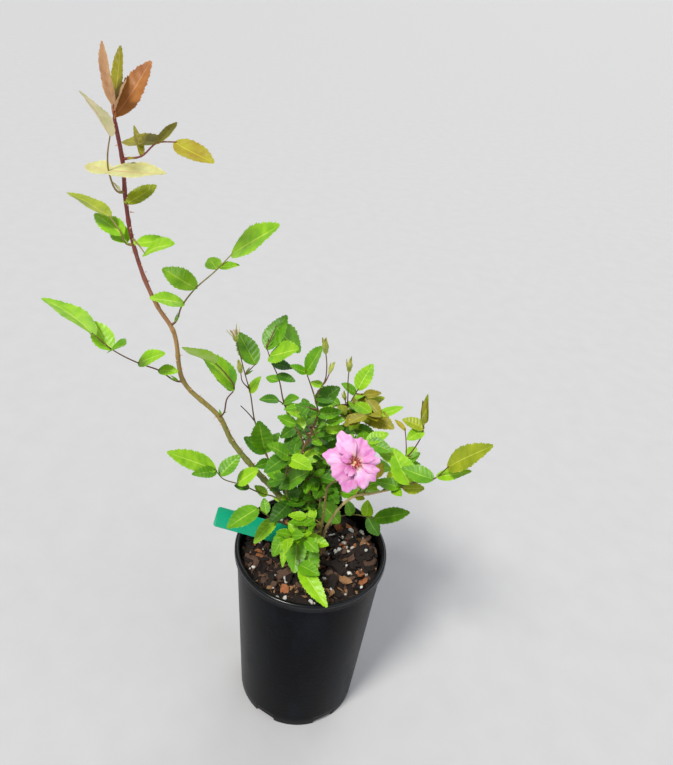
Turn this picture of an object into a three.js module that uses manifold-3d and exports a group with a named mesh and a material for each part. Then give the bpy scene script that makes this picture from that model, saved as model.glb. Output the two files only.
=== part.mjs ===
// A young rose bush in a black nursery pot, in millimetres, +Z up.
// The origin is the centre of the pot's flat underside, and +Y points away from the bush's best side.
// Every direction is an azimuth in degrees from +X towards +Y, then an elevation in degrees above the
// horizontal.
import * as THREE from "three";
import { mergeVertices } from "three/addons/utils/BufferGeometryUtils.js";
import Module from "manifold-3d";

const wasm = await Module();
wasm.setup();

const CLEARANCE = 0.3; // between neighbouring solids

const POT = {
  height: 140,
  rimRadius: 50,
  neckRadius: 48.2,
  baseRadius: 42,
  wall: 1.5,
  floor: 2,
  lipDepth: 6,
  edge: 1,
  drains: 6,
  drainWidth: 15,
  drainHeight: 4.5,
  drainTurn: 3, // degrees from +X to the first notch
  segments: 48,
};

const MIX = { level: 130, relief: 1.6, sink: 0.6, flatRadius: 13, rings: 9, sectors: 30, seed: 5 };

const LABEL = { tail: [-65.5, 9, 146.8], head: [-10.5, 9, 135.4], width: 14, thickness: 0.6, tilt: 25 };

const CROWN = {
  x: 1,
  y: 6,
  height: 11,
  footRadius: 9.5,
  topRadius: 8,
  innerRing: 2.4,
  outerRing: 6.3,
  sides: 14,
};

const LIGHT = new THREE.Vector3(-0.15, -0.45, 1).normalize(); // leaves turn their upper faces to it
const LEAF = { width: 0.62, thickness: 0.55, fold: 0.2, curl: 0.08, root: 0.6, lastShare: 0.97 };
// A blade's stations: [share of its length, half width as a share of its width].
const LEAFLET_STATIONS = [[0.26, 0.44], [0.6, 0.42]];
const PETAL_STATIONS = [[0.3, 0.3], [0.72, 0.5]];
const TWIG = { start: 0.8, end: 0.45, sides: 3 };

const END_ROOT = 0.8; // how far what ends a twig is sunk into its tip
const BUD = { length: 12, rings: [[0.16, 1.7], [0.4, 2.3], [0.68, 1.1]] };
const SMALL_BUD = { length: 7, rings: [[0.2, 1], [0.45, 1.4], [0.7, 0.7]] };
const YOUNG_SHOOT = { length: 20, rings: [[0.2, 1.8], [0.5, 2.3], [0.8, 1.6]] };
const CUP = {
  length: 6,
  rings: [[0.3, 1.8], [0.75, 2.4]],
  heart: 0.6,
  sepals: 5,
  sepalLength: 9,
  sepalWidth: 0.25,
  splay: 30,
};
const BLOOM = {
  facing: [-84, 40],
  petals: 8,
  petalLength: 16,
  petalWidth: 0.82,
  lean: 14,
  leanStep: 5,
  fold: 0.25,
  curl: 0.04,
  heart: 0.6,
  cupLength: 7,
  cupRings: [[0.3, 2.6], [0.8, 3.4]],
  cupRoot: 1,
  cupSides: 8,
};

// Foliage by rule: leaves set up a stem at the golden angle, each a stalk with pairs of leaflets and one at
// its end.
// A leaf whose end would leave the foliage's space, a ball ahead of the limb's tip, is skipped.
const RULE = {
  leaves: 6,
  goldenAngle: 137.5,
  stalk: [7, 9],
  leaflet: 15,
  endLeaflet: 1.35,
  pairs: [0.45, 0.8],
  spread: 62,
  lift: 30,
  droop: 16,
  spaceAhead: 20,
  spaceRadius: 34,
};

const COLOURS = {
  pot: 0x17191c,
  mix: 0x3a2b22,
  label: 0x0aa078,
  wood: 0x7d6a35,
  cane: 0x9a6a48,
  leaf: 0x55912a,
  youngLeaf: 0x96553a,
};

// Limbs stand on the crown at a ring and a turn. Each step is [azimuth, elevation, length].
const LIMBS = {
  main_cane: {
    ring: "outerRing", turn: 190, radii: [2.3, 1], sides: 8,
    steps: [
      [158, 50, 32.6], [172, 46, 23.2], [173, 51, 27.8], [176, 66, 15.1], [178, 46, 32.5],
      [-173, 80, 38.4], [-168, 61, 12.3], [-161, 73, 40.1], [-105, 82, 32], [-66, 79, 9.9], [-99, 81, 8.4],
      [-116, 80, 13.4],
    ],
  },
  left_shoot: {
    ring: "outerRing", turn: 157, radii: [1.2, 0.85], sides: 5,
    steps: [[145, 47, 23.7], [147, 48, 22.8], [149, 58, 11.2]],
  },
  tall_shoot: {
    ring: "outerRing", turn: 125, radii: [1.2, 0.85], sides: 5,
    steps: [[108, 72, 25.1], [145, 78, 30.8], [159, 70, 16.6], [164, 53, 10.2]],
  },
  centre_shoot: {
    ring: "innerRing", turn: 165, radii: [1.3, 0.85], sides: 5,
    steps: [[-149, 85, 32.9], [-166, 78, 40.6], [7, 74, 16.1], [-27, 77, 12.6]],
  },
  bud_shoot: {
    ring: "innerRing", turn: 345, radii: [1.3, 0.85], sides: 5,
    steps: [[84, 68, 25.7], [87, 74, 32.5], [70, 77, 13.7], [46, 72, 11.7]],
  },
  back_left_shoot: {
    ring: "outerRing", turn: 97, radii: [1.2, 0.9], sides: 5,
    steps: [[96, 52, 24], [122, 62, 16]],
  },
  back_right_shoot: {
    ring: "outerRing", turn: 66, radii: [1.2, 0.9], sides: 5,
    steps: [[58, 58, 24], [66, 66, 16]],
  },
  low_right_shoot: {
    ring: "outerRing", turn: 33, radii: [1.1, 0.8], sides: 5,
    steps: [[50, 22, 9]],
  },
  right_branch: {
    ring: "outerRing", turn: 352, radii: [1.3, 0.9], sides: 5,
    steps: [[-65, 72, 27.3], [-40, 67, 21.7], [-21, 54, 11.2], [-15, 30, 10.1], [-8, 31, 12.8]],
  },
  bloom_shoot: {
    ring: "outerRing", turn: 300, radii: [1.2, 0.9], sides: 5,
    steps: [[-84, 70, 33.1], [-89, 82, 29.5]],
  },
};

// Foliage. Each entry starts on a limb, at a share of its length. Its twigs branch from one another: "on" is
// the twig that carries one, and "at" the share of that twig's length. A leaflet is [share of the twig's
// length, azimuth, elevation, length], then the turn of its blade about its midrib and its width, where they
// differ.
const FOLIAGE = {
  cane_leaf_low: {
    limb: "main_cane", at: 0.355,
    twigs: [
      {
        steps: [[-52, 66, 19.8], [-43, 60, 13.5], [-141, 63, 11.8], [-150, 53, 12.7]],
        leaflets: [
          [1, -136, 43, 27, 65, 0.5], [0.56, -159, 56, 31, 20], [0.61, 159, 49, 21], [0.55, -129, 47, 17],
        ],
      },
    ],
  },
  cane_leaf_left: {
    limb: "main_cane", at: 0.465,
    twigs: [
      {
        steps: [[-169, 33, 14.3], [-164, 25, 11.6], [-160, 36, 18.2], [-157, 50, 14.7]],
        leaflets: [
          [0.24, -12, 14, 13], [0.45, -10, 35, 20], [0.75, 140, 29, 22], [0.75, -47, 37, 22],
          [1, 152, 18, 41, 50, 0.52],
        ],
      },
    ],
  },
  cane_leaf_right: {
    limb: "main_cane", at: 0.598,
    twigs: [
      {
        steps: [[29, 65, 11.6], [34, 51, 10.6], [30, 40, 17.3], [29, 45, 14]],
        leaflets: [
          [0.25, -142, 23, 21], [0.46, 166, 21, 23], [0.76, 121, 3, 17], [0.79, -2, 16, 12],
          [1, -30, 43, 40, 8, 0.5],
        ],
      },
    ],
  },
  cane_leaf_upper_left: {
    limb: "main_cane", at: 0.779,
    twigs: [
      {
        steps: [[-141, 63, 9.6], [152, 40, 8.8]],
        leaflets: [[0.1, 135, 10, 18], [1, 152, 14, 31, 35, 0.5], [0.35, 145, 14, 25, 0, 0.5]],
      },
    ],
  },
  cane_leaf_upper_right: {
    limb: "main_cane", at: 0.79,
    twigs: [
      {
        steps: [[-47, -9, 6.3], [-42, -26, 5.7]],
        leaflets: [[0.3, 19, 7, 17], [1, -31, 32, 24]],
      },
    ],
  },
  cane_leaf_small: {
    limb: "main_cane", at: 0.861,
    twigs: [
      {
        steps: [[-70, 32, 1.6]],
        leaflets: [[1, 40, 29, 18, 10, 0.55]],
      },
    ],
  },
  cane_leaf_high: {
    limb: "main_cane", at: 0.881,
    twigs: [
      {
        steps: [[-125, 62, 12.8], [-68, 73, 8.6], [-44, 67, 12]],
        leaflets: [[0.37, 150, 2, 18, 0], [0.4, -20, 13, 33, -7, 0.5], [1, -103, 53, 29, -30, 0.5]],
      },
    ],
  },
  cane_leaf_top: {
    limb: "main_cane", at: 0.941,
    twigs: [
      {
        steps: [[-13, 16, 3], [32, 5, 4.3], [30, 36, 10.9], [18, 5, 9.2]],
        leaflets: [
          [0.3, 114, 41, 18, 60, 0.35], [0.68, 70, 31, 17, -15, 0.5], [0.68, 149, -7, 28, 5, 0.5],
          [1, -27, -8, 24, 0, 0.55],
        ],
      },
    ],
  },
  cane_tip: {
    limb: "main_cane", at: 1,
    twigs: [
      {
        steps: [[58, 89, 4.2], [9, 89, 4.3]],
        leaflets: [
          [0.3, 30, 56, 30, 15, 0.5], [0.78, -116, 76, 28, -25, 0.32], [1, 94, 64, 26, -25, 0.34],
          [0.6, -42, 58, 19, 0, 0.3],
        ],
      },
    ],
  },
  low_left_leaf: {
    limb: "main_cane", at: 0.094,
    twigs: [
      {
        steps: [[148, 19, 4.8], [-162, 27, 10.5], [-157, 37, 17.9], [-154, 33, 13.8], [-141, 61, 12.8]],
        leaflets: [
          [1, -157, 36, 34, 0, 0.44], [0.95, -127, 25, 20, -30, 0.42], [0.86, 49, 33, 18],
          [0.6, 1, 51, 19], [0.45, 178, 5, 10], [0.2, 179, 41, 11],
        ],
      },
    ],
  },
  label_leaf: {
    limb: "main_cane", at: 0.042,
    twigs: [
      {
        steps: [[-148, 36, 19.3], [-136, 51, 19.8]],
        leaflets: [[1, -134, -5, 23], [0.4, -130, -25, 21, 0, 0.5], [0.7, 109, 30, 11]],
      },
    ],
  },
  left_foliage: {
    limb: "left_shoot", at: 1,
    twigs: [
      {
        steps: [
          [150, 63, 12.4], [156, 67, 13.4], [144, 75, 20.7], [154, 70, 11.8], [152, 71, 17.7],
          [153, 71, 5.3],
        ],
        leaflets: [[0.03, 169, 30, 18], [0.05, -129, 75, 27], [0.04, 39, 52, 16], [0.57, 30, 60, 13]],
        end: "cup",
      },
      {
        on: 0, at: 0.32,
        steps: [[-124, 55, 15.3], [-125, 52, 7.4]],
        leaflets: [],
      },
      {
        on: 0, at: 0.72,
        steps: [[38, 42, 5.2], [31, 43, 4.5]],
        leaflets: [[1, 140, 41, 24]],
      },
      {
        on: 0, at: 0.6,
        steps: [[-124, 54, 11.1], [-104, 71, 8.3]],
        leaflets: [],
        end: "bud",
      },
    ],
  },
  tall_foliage: {
    limb: "tall_shoot", at: 1,
    twigs: [
      {
        steps: [[149, 57, 11.8], [138, 66, 17.2], [151, 57, 11], [147, 61, 9.3]],
        leaflets: [
          [0.55, 151, -9, 11], [0.62, -30, 8, 14, 0, 0.5], [0.8, -2, -8, 14], [0.88, -39, 38, 28],
          [1, 59, 48, 25], [0.26, -32, 39, 14], [0.2, -1, -20, 16],
        ],
      },
      {
        on: 0, at: 1,
        steps: [[58, 50, 6.9], [62, 53, 7.4]],
        leaflets: [[1, 3, -43, 24, 0, 0.8]],
      },
      {
        on: 0, at: 0.22,
        steps: [[-135, 45, 7.9]],
        leaflets: [[1, -152, 16, 13]],
      },
    ],
  },
  centre_foliage: {
    limb: "centre_shoot", at: 1,
    twigs: [
      {
        steps: [[-132, 77, 12.1], [-144, 71, 6.4], [-149, 69, 17.7]],
        leaflets: [
          [1, -31, 69, 21], [1, -160, 31, 11], [0.29, 20, 40, 17, 0, 0.8], [0.11, -171, 21, 14],
          [0.06, 4, 15, 15],
        ],
      },
      {
        on: 0, at: 0.4,
        steps: [[-67, 60, 11.8], [-47, 64, 6], [-82, 71, 15.5], [-109, 70, 10.4]],
        leaflets: [[0.34, 142, -4, 9], [0.05, -20, 5, 11]],
        end: "bud",
      },
      {
        on: 1, at: 0.39,
        steps: [[-3, 67, 5.1], [55, 64, 3]],
        leaflets: [],
        end: "small bud",
      },
    ],
  },
  bud_foliage: {
    limb: "bud_shoot", at: 1,
    twigs: [
      {
        steps: [[38, 57, 8.1], [44, 61, 9.5], [37, 59, 6]],
        leaflets: [[1, 49, 56, 19], [0.87, -161, 39, 13]],
      },
      {
        on: 0, at: 0.38,
        steps: [[-98, 66, 18], [-111, 76, 12.3], [-95, 75, 6.8]],
        leaflets: [],
        end: "bud",
      },
      {
        on: 0, at: 0.36,
        steps: [[-172, 75, 7.5]],
        leaflets: [],
        end: "small bud",
      },
      {
        on: 0, at: 0.3,
        steps: [[-39, 23, 9.1], [-40, 21, 8.4], [-30, 26, 10.3]],
        leaflets: [
          [0.1, 22, 22, 25, 0, 0.45], [0.54, -39, 9, 24, 0, 0.58], [1, 18, 20, 16, 0, 0.45],
          [0.2, -60, -37, 12],
        ],
      },
    ],
  },
  right_foliage: {
    limb: "right_branch", at: 1,
    twigs: [
      {
        steps: [[-35, 46, 10], [-47, 48, 7], [-33, 40, 15.7], [-52, 61, 18.8]],
        leaflets: [
          [1, -54, 55, 38, 24, 0.36], [0.74, -24, 37, 21, 0, 0.4], [0.66, 163, 4, 19],
          [0.32, 140, 44, 21, 0, 0.75], [0.13, 170, 2, 15],
        ],
      },
      {
        on: 0, at: 0.04,
        steps: [[54, 68, 10.2], [59, 64, 7.4], [105, 68, 13], [121, 64, 6.9]],
        leaflets: [[1, 156, 34, 9, 0, 0.35], [0.46, 165, 12, 18], [0.46, 23, 34, 11]],
      },
      {
        on: 1, at: 0.5,
        steps: [[-42, 68, 13.1], [-65, 74, 15.8], [-117, 74, 4.1]],
        leaflets: [[0.93, 166, 14, 13], [0.86, -135, 2, 13]],
        end: "young shoot",
      },
    ],
  },
  bloom_spray: {
    limb: "bloom_shoot", at: 1,
    twigs: [
      {
        steps: [[-47, 61, 15], [-33, 61, 12.4], [-44, 65, 9.7]],
        leaflets: [],
        end: "bloom",
      },
      {
        on: 0, at: 0.5,
        steps: [[42, 44, 15.4], [46, 45, 10.7]],
        leaflets: [[1, 20, 24, 14], [0.9, 97, 0, 15], [1, -24, 4, 16]],
      },
    ],
  },
  front_foliage: {
    limb: "bloom_shoot", at: 0.305,
    twigs: [
      {
        steps: [[-156, -19, 13.1], [-86, -21, 10.7], [-70, -31, 7.5]],
        leaflets: [
          [1, -51, -8, 31, 0, 0.38], [0.36, -104, -52, 21], [0.4, -53, -33, 25, 0, 0.65], [0.92, -38, 15, 17],
          [0.3, -20, 8, 17],
        ],
      },
      {
        on: 0, at: 0.22,
        steps: [[-175, 4, 8], [-170, -6, 7.8]],
        leaflets: [[1, -84, -45, 20, 0, 0.3], [0.95, -130, -50, 16], [0.5, -84, -30, 24]],
      },
    ],
  },
  core_left_foliage: {
    limb: "left_shoot", at: 0.391,
    twigs: [
      {
        steps: [[-89, 45, 16.9], [-140, 74, 15.1], [-111, 88, 14.4], [-70, 75, 16.5]],
        leaflets: [
          [1, -151, 43, 19], [1, -135, -8, 19], [1, -21, -45, 11], [0.95, -38, 10, 19],
          [0.63, 161, -33, 17], [0.56, -28, 52, 24], [0.3, -6, 57, 13], [0.25, -124, -12, 19, 0, 0.68],
        ],
      },
    ],
  },
  core_right_foliage: {
    limb: "bud_shoot", at: 0.332,
    twigs: [
      {
        steps: [[-96, 15, 13.1], [127, 80, 15.3], [124, 69, 13.5], [146, 70, 10.6]],
        leaflets: [
          [1, 30, 47, 27], [0.93, 40, 28, 13], [0.53, 0, -22, 17], [0.63, -147, -11, 9], [0.63, -54, 2, 22],
          [0.33, 2, -48, 23, 25], [0.28, -123, -20, 15], [0.73, -16, 21, 12],
        ],
      },
    ],
  },
  back_left_foliage: {
    limb: "back_left_shoot", at: 1,
    rule: { seed: 12, azimuth: 112, elevation: 60, length: 36 },
  },
  back_right_foliage: {
    limb: "back_right_shoot", at: 1,
    rule: { seed: 23, azimuth: 62, elevation: 64, length: 36 },
  },
  back_low_foliage: {
    limb: "back_left_shoot", at: 0.4,
    rule: { seed: 31, azimuth: 95, elevation: 30, length: 26 },
  },
  low_right_leaf: {
    limb: "low_right_shoot", at: 1,
    twigs: [
      {
        steps: [[-16, 45, 17.9], [-19, 16, 10], [-29, 18, 6.9]],
        leaflets: [
          [1, -28, 42, 29, 0, 0.42], [0.8, -129, 84, 15], [0.84, -17, -53, 17], [0.51, -178, 69, 13],
        ],
      },
    ],
  },
};

const rad = THREE.MathUtils.degToRad;
const UP = new THREE.Vector3(0, 0, 1);

function direction(azimuth, elevation) {
  const a = rad(azimuth);
  const e = rad(elevation);
  return new THREE.Vector3(Math.cos(e) * Math.cos(a), Math.cos(e) * Math.sin(a), Math.sin(e));
}

// A repeatable stream of numbers from 0 to 1.
function seeded(seed) {
  let state = seed >>> 0;
  return () => {
    state = (state + 0x6d2b79f5) >>> 0;
    let t = Math.imul(state ^ (state >>> 15), state | 1);
    t = (t + Math.imul(t ^ (t >>> 7), t | 61)) ^ t;
    return ((t ^ (t >>> 14)) >>> 0) / 4294967296;
  };
}

// A closed geometry from points and triangles of their indices.
function closed(points, triangles) {
  const geometry = new THREE.BufferGeometry();
  const flat = points.flatMap((p) => [p.x, p.y, p.z]);
  geometry.setAttribute("position", new THREE.Float32BufferAttribute(flat, 3));
  geometry.setIndex(triangles.flat());
  return geometry;
}

function solid(geometry) {
  const bare = geometry.clone();
  bare.deleteAttribute("normal");
  bare.deleteAttribute("uv");
  const merged = mergeVertices(bare, 1e-4);
  return new wasm.Manifold(
    new wasm.Mesh({
      numProp: 3,
      vertProperties: merged.attributes.position.array,
      triVerts: new Uint32Array(merged.index.array),
    }),
  );
}

function geometryOf(manifold) {
  const mesh = manifold.getMesh();
  const geometry = new THREE.BufferGeometry();
  geometry.setAttribute("position", new THREE.BufferAttribute(mesh.vertProperties.slice(), 3));
  geometry.setIndex(new THREE.BufferAttribute(mesh.triVerts.slice(), 1));
  geometry.computeVertexNormals();
  return geometry;
}

// The corners of a path that starts at a point and takes each step in turn.
function walk(start, steps) {
  const corners = [start.clone()];
  for (const [azimuth, elevation, length] of steps) {
    corners.push(corners.at(-1).clone().addScaledVector(direction(azimuth, elevation), length));
  }
  return corners;
}

class Path {
  constructor(corners) {
    this.corners = corners;
    this.reach = [0];
    for (let i = 1; i < corners.length; i++) {
      this.reach.push(this.reach[i - 1] + corners[i].distanceTo(corners[i - 1]));
    }
    this.length = this.reach.at(-1);
  }

  // The point and the direction of travel at a share of the path's length.
  at(share) {
    const wanted = share * this.length;
    let i = 1;
    while (i < this.corners.length - 1 && this.reach[i] < wanted) i++;
    const from = this.corners[i - 1];
    const along = this.corners[i].clone().sub(from).normalize();
    return { point: from.clone().addScaledVector(along, wanted - this.reach[i - 1]), along };
  }
}

// A closed tube through a path's corners, with a ring of the given sides at each, tapering evenly.
function taperedTube(path, startRadius, endRadius, sides) {
  const { corners, reach, length } = path;
  const points = [];
  const triangles = [];
  let side = null;
  corners.forEach((corner, i) => {
    const before = corners[Math.max(i - 1, 0)];
    const after = corners[Math.min(i + 1, corners.length - 1)];
    const along = after.clone().sub(before).normalize();
    if (!side) side = Math.abs(along.z) > 0.9 ? new THREE.Vector3(1, 0, 0) : UP.clone();
    side.addScaledVector(along, -side.dot(along)).normalize();
    const across = along.clone().cross(side);
    const radius = THREE.MathUtils.lerp(startRadius, endRadius, reach[i] / length);
    for (let k = 0; k < sides; k++) {
      const a = (2 * Math.PI * k) / sides;
      const point = corner.clone().addScaledVector(side, radius * Math.cos(a));
      points.push(point.addScaledVector(across, radius * Math.sin(a)));
    }
  });
  const last = (corners.length - 1) * sides;
  for (let i = 0; i < last; i += sides) {
    for (let k = 0; k < sides; k++) {
      const next = (k + 1) % sides;
      triangles.push([i + k, i + next, i + sides + next], [i + k, i + sides + next, i + sides + k]);
    }
  }
  for (let k = 1; k < sides - 1; k++) {
    triangles.push([0, k + 1, k], [last, last + k, last + k + 1]);
  }
  return closed(points, triangles);
}

// A blade, pointed at both ends and folded up from its midrib, with its widths at two stations.
function blade(base, along, length, turn, width, stations, fold, curl, thickness) {
  const face = LIGHT.clone().addScaledVector(along, -LIGHT.dot(along)).normalize();
  face.applyAxisAngle(along, rad(turn));
  const side = face.clone().cross(along);
  const place = (share, across, lift) =>
    base
      .clone()
      .addScaledVector(along, share * length)
      .addScaledVector(side, across)
      .addScaledVector(face, lift - curl * length * share * share);
  const points = [place(0, 0, 0), place(1, 0, 0)];
  for (const [share, half] of stations) {
    const across = half * width * length;
    points.push(
      place(share, across, fold * across),
      place(share, -across, fold * across),
      place(share, 0, thickness / 2),
      place(share, 0, -thickness / 2),
    );
  }
  const [base0, tip0, l1, r1, t1, b1, l2, r2, t2, b2] = points.keys();
  return closed(points, [
    [base0, r1, t1], [base0, t1, l1], [r1, r2, t2], [r1, t2, t1], [t1, t2, l2], [t1, l2, l1], [r2, tip0, t2],
    [t2, tip0, l2], [base0, b1, r1], [base0, l1, b1], [r1, b2, r2], [r1, b1, b2], [b1, l2, b2], [b1, l1, l2],
    [r2, b2, tip0], [b2, l2, tip0],
  ]);
}

function leaflet(base, azimuth, elevation, length, turn = 0, width = LEAF.width) {
  const along = direction(azimuth, elevation);
  const root = base.clone().addScaledVector(along, -LEAF.root);
  return blade(root, along, length, turn, width, LEAFLET_STATIONS, LEAF.fold, LEAF.curl, LEAF.thickness);
}

// A spindle along a direction, pointed at both ends: [share of its length, radius] at each ring.
function spindle(base, along, length, rings, sides = 6) {
  const stations = [[0, 0], ...rings, [1, 0]];
  const profile = stations.map(([share, radius]) => new THREE.Vector2(radius, share * length));
  const turned = new THREE.LatheGeometry(profile, sides);
  const upright = new THREE.Quaternion().setFromUnitVectors(new THREE.Vector3(0, 1, 0), along);
  return turned.applyQuaternion(upright).translate(base.x, base.y, base.z);
}

// What ends a twig: its solids, all sunk into the twig's tip.
const ENDS = {
  bud: (tip, along) => [spindle(tip, along, BUD.length, BUD.rings)],
  "small bud": (tip, along) => [spindle(tip, along, SMALL_BUD.length, SMALL_BUD.rings)],
  "young shoot": (tip, along) => [spindle(tip, along, YOUNG_SHOOT.length, YOUNG_SHOOT.rings)],
  cup: (tip, along) => {
    const { length, rings, sepalLength, sepalWidth, splay } = CUP;
    const solids = [spindle(tip, along, length, rings)];
    const heart = tip.clone().addScaledVector(along, length * CUP.heart);
    const side = new THREE.Vector3(1, 0, 0);
    side.addScaledVector(along, -side.dot(along)).normalize();
    for (let k = 0; k < CUP.sepals; k++) {
      const out = side.clone().applyAxisAngle(along, (2 * Math.PI * k) / CUP.sepals);
      const way = along.clone().multiplyScalar(Math.cos(rad(splay)));
      way.addScaledVector(out, Math.sin(rad(splay)));
      solids.push(blade(heart, way, sepalLength, 0, sepalWidth, LEAFLET_STATIONS, 0, 0, LEAF.thickness));
    }
    return solids;
  },
  bloom: (tip) => {
    const facing = direction(...BLOOM.facing);
    const foot = tip.clone().addScaledVector(facing, -BLOOM.cupRoot);
    const solids = [spindle(foot, facing, BLOOM.cupLength, BLOOM.cupRings, BLOOM.cupSides)];
    const heart = tip.clone().addScaledVector(facing, BLOOM.cupLength * BLOOM.heart);
    const side = UP.clone().addScaledVector(facing, -UP.dot(facing)).normalize();
    for (let k = 0; k < BLOOM.petals; k++) {
      const out = side.clone().applyAxisAngle(facing, (2 * Math.PI * k) / BLOOM.petals);
      const lean = rad(BLOOM.lean + BLOOM.leanStep * (k % 2));
      const way = out.multiplyScalar(Math.cos(lean)).addScaledVector(facing, Math.sin(lean));
      solids.push(petal(heart, way, facing));
    }
    return solids;
  },
};

// A petal: a blade whose upper face is turned to where the bloom faces.
function petal(base, along, facing) {
  const face = facing.clone().addScaledVector(along, -facing.dot(along)).normalize();
  const natural = LIGHT.clone().addScaledVector(along, -LIGHT.dot(along)).normalize();
  const turn = Math.atan2(natural.clone().cross(face).dot(along), natural.dot(face));
  const { petalLength, petalWidth, fold, curl } = BLOOM;
  const degrees = THREE.MathUtils.radToDeg(turn);
  return blade(base, along, petalLength, degrees, petalWidth, PETAL_STATIONS, fold, curl, LEAF.thickness);
}

// Pot: one turned wall and floor, with notches through its bottom edge.
function makePot() {
  const { height, rimRadius, neckRadius, baseRadius, wall, floor, lipDepth, edge, segments } = POT;
  const profile = [
    [0, 0],
    [baseRadius - edge, 0],
    [baseRadius, edge],
    [neckRadius, height - lipDepth],
    [rimRadius, height - lipDepth + edge],
    [rimRadius, height - edge],
    [rimRadius - edge, height],
    [neckRadius - wall, height - edge / 2],
    [baseRadius - wall, floor],
    [0, floor],
  ].map(([r, z]) => new THREE.Vector2(r, z));
  const wallGeometry = new THREE.LatheGeometry(profile, segments).rotateX(Math.PI / 2);
  let pot = solid(wallGeometry);
  for (let k = 0; k < POT.drains; k++) {
    const cutter = new THREE.BoxGeometry(POT.drainWidth, POT.drainWidth, 2 * POT.drainHeight);
    cutter.translate(baseRadius + edge, 0, 0).rotateZ(rad(POT.drainTurn + (360 * k) / POT.drains));
    pot = pot.subtract(solid(cutter));
  }
  return geometryOf(pot);
}

// The mix's radius at a height, just clear of the pot's inner wall.
function mixRadius(z) {
  const { height, neckRadius, baseRadius, wall, floor, lipDepth, edge } = POT;
  const slope = (neckRadius - baseRadius) / (height - lipDepth - edge);
  return baseRadius + slope * (z - floor) - wall - 2 * CLEARANCE;
}

// Potting mix: fills the pot, with an uneven top that lies flat under the crown.
function makeMix() {
  const { level, relief, sink, flatRadius, rings, sectors, seed } = MIX;
  const random = seeded(seed);
  const bottom = POT.floor + CLEARANCE;
  const points = [new THREE.Vector3(CROWN.x, CROWN.y, level), new THREE.Vector3(0, 0, bottom)];
  const edge = mixRadius(level);
  for (let i = 1; i <= rings; i++) {
    const share = i / rings;
    for (let k = 0; k < sectors; k++) {
      const a = (2 * Math.PI * (k + 0.5 * (i % 2))) / sectors;
      const outward = (i - 1) / (rings - 1);
      const x = THREE.MathUtils.lerp(CROWN.x + flatRadius * Math.cos(a), edge * Math.cos(a), outward);
      const y = THREE.MathUtils.lerp(CROWN.y + flatRadius * Math.sin(a), edge * Math.sin(a), outward);
      const rough = i === 1 ? 0 : relief * (random() - sink);
      points.push(new THREE.Vector3(x, y, level + rough * Math.min(1, 3 * share)));
    }
  }
  const foot = points.length;
  for (let k = 0; k < sectors; k++) {
    const a = (2 * Math.PI * (k + 0.5 * (rings % 2))) / sectors;
    points.push(new THREE.Vector3(mixRadius(bottom) * Math.cos(a), mixRadius(bottom) * Math.sin(a), bottom));
  }
  const triangles = [];
  for (let k = 0; k < sectors; k++) {
    const next = (k + 1) % sectors;
    triangles.push([0, 2 + k, 2 + next], [1, foot + next, foot + k]);
    for (let i = 1; i < rings; i++) {
      const inner = 2 + (i - 1) * sectors;
      const outer = inner + sectors;
      triangles.push([inner + k, outer + k, outer + next], [inner + k, outer + next, inner + next]);
    }
    const top = 2 + (rings - 1) * sectors;
    triangles.push([top + k, foot + k, foot + next], [top + k, foot + next, top + next]);
  }
  return closed(points, triangles);
}

// Label: a blank strip that lies from the mix out over the rim.
function makeLabel() {
  const tail = new THREE.Vector3(...LABEL.tail);
  const head = new THREE.Vector3(...LABEL.head);
  const along = head.clone().sub(tail);
  const length = along.length();
  along.normalize();
  const across = new THREE.Vector3(0, Math.cos(rad(LABEL.tilt)), Math.sin(rad(LABEL.tilt)));
  across.addScaledVector(along, -across.dot(along)).normalize();
  const normal = along.clone().cross(across);
  const strip = new THREE.BoxGeometry(length, LABEL.width, LABEL.thickness);
  const centre = tail.clone().add(head).multiplyScalar(0.5);
  return strip.applyMatrix4(new THREE.Matrix4().makeBasis(along, across, normal).setPosition(centre));
}

// Crown: the short woody foot that the shoots rise from, cut flat where it meets the mix.
function makeCrown() {
  const { x, y, height, footRadius, topRadius, sides } = CROWN;
  const foot = MIX.level + CLEARANCE;
  const profile = [[0, 0], [footRadius, 0], [footRadius - 1, height * 0.3], [topRadius, height], [0, height]];
  const turned = new THREE.LatheGeometry(profile.map(([r, z]) => new THREE.Vector2(r, z)), sides);
  return turned.rotateX(Math.PI / 2).translate(x, y, foot);
}

const crownTop = MIX.level + CLEARANCE + CROWN.height;
const paths = {};

// A limb: a tapering tube that stands just clear of the crown's top.
function makeLimb(name) {
  const { ring, turn, radii, sides, steps } = LIMBS[name];
  const rise = CLEARANCE + radii[0] * Math.cos(rad(steps[0][1]));
  const start = new THREE.Vector3(
    CROWN.x + CROWN[ring] * Math.cos(rad(turn)),
    CROWN.y + CROWN[ring] * Math.sin(rad(turn)),
    crownTop + rise,
  );
  const path = new Path(walk(start, steps));
  paths[name] = { path, radii };
  return taperedTube(path, radii[0], radii[1], sides);
}

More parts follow.
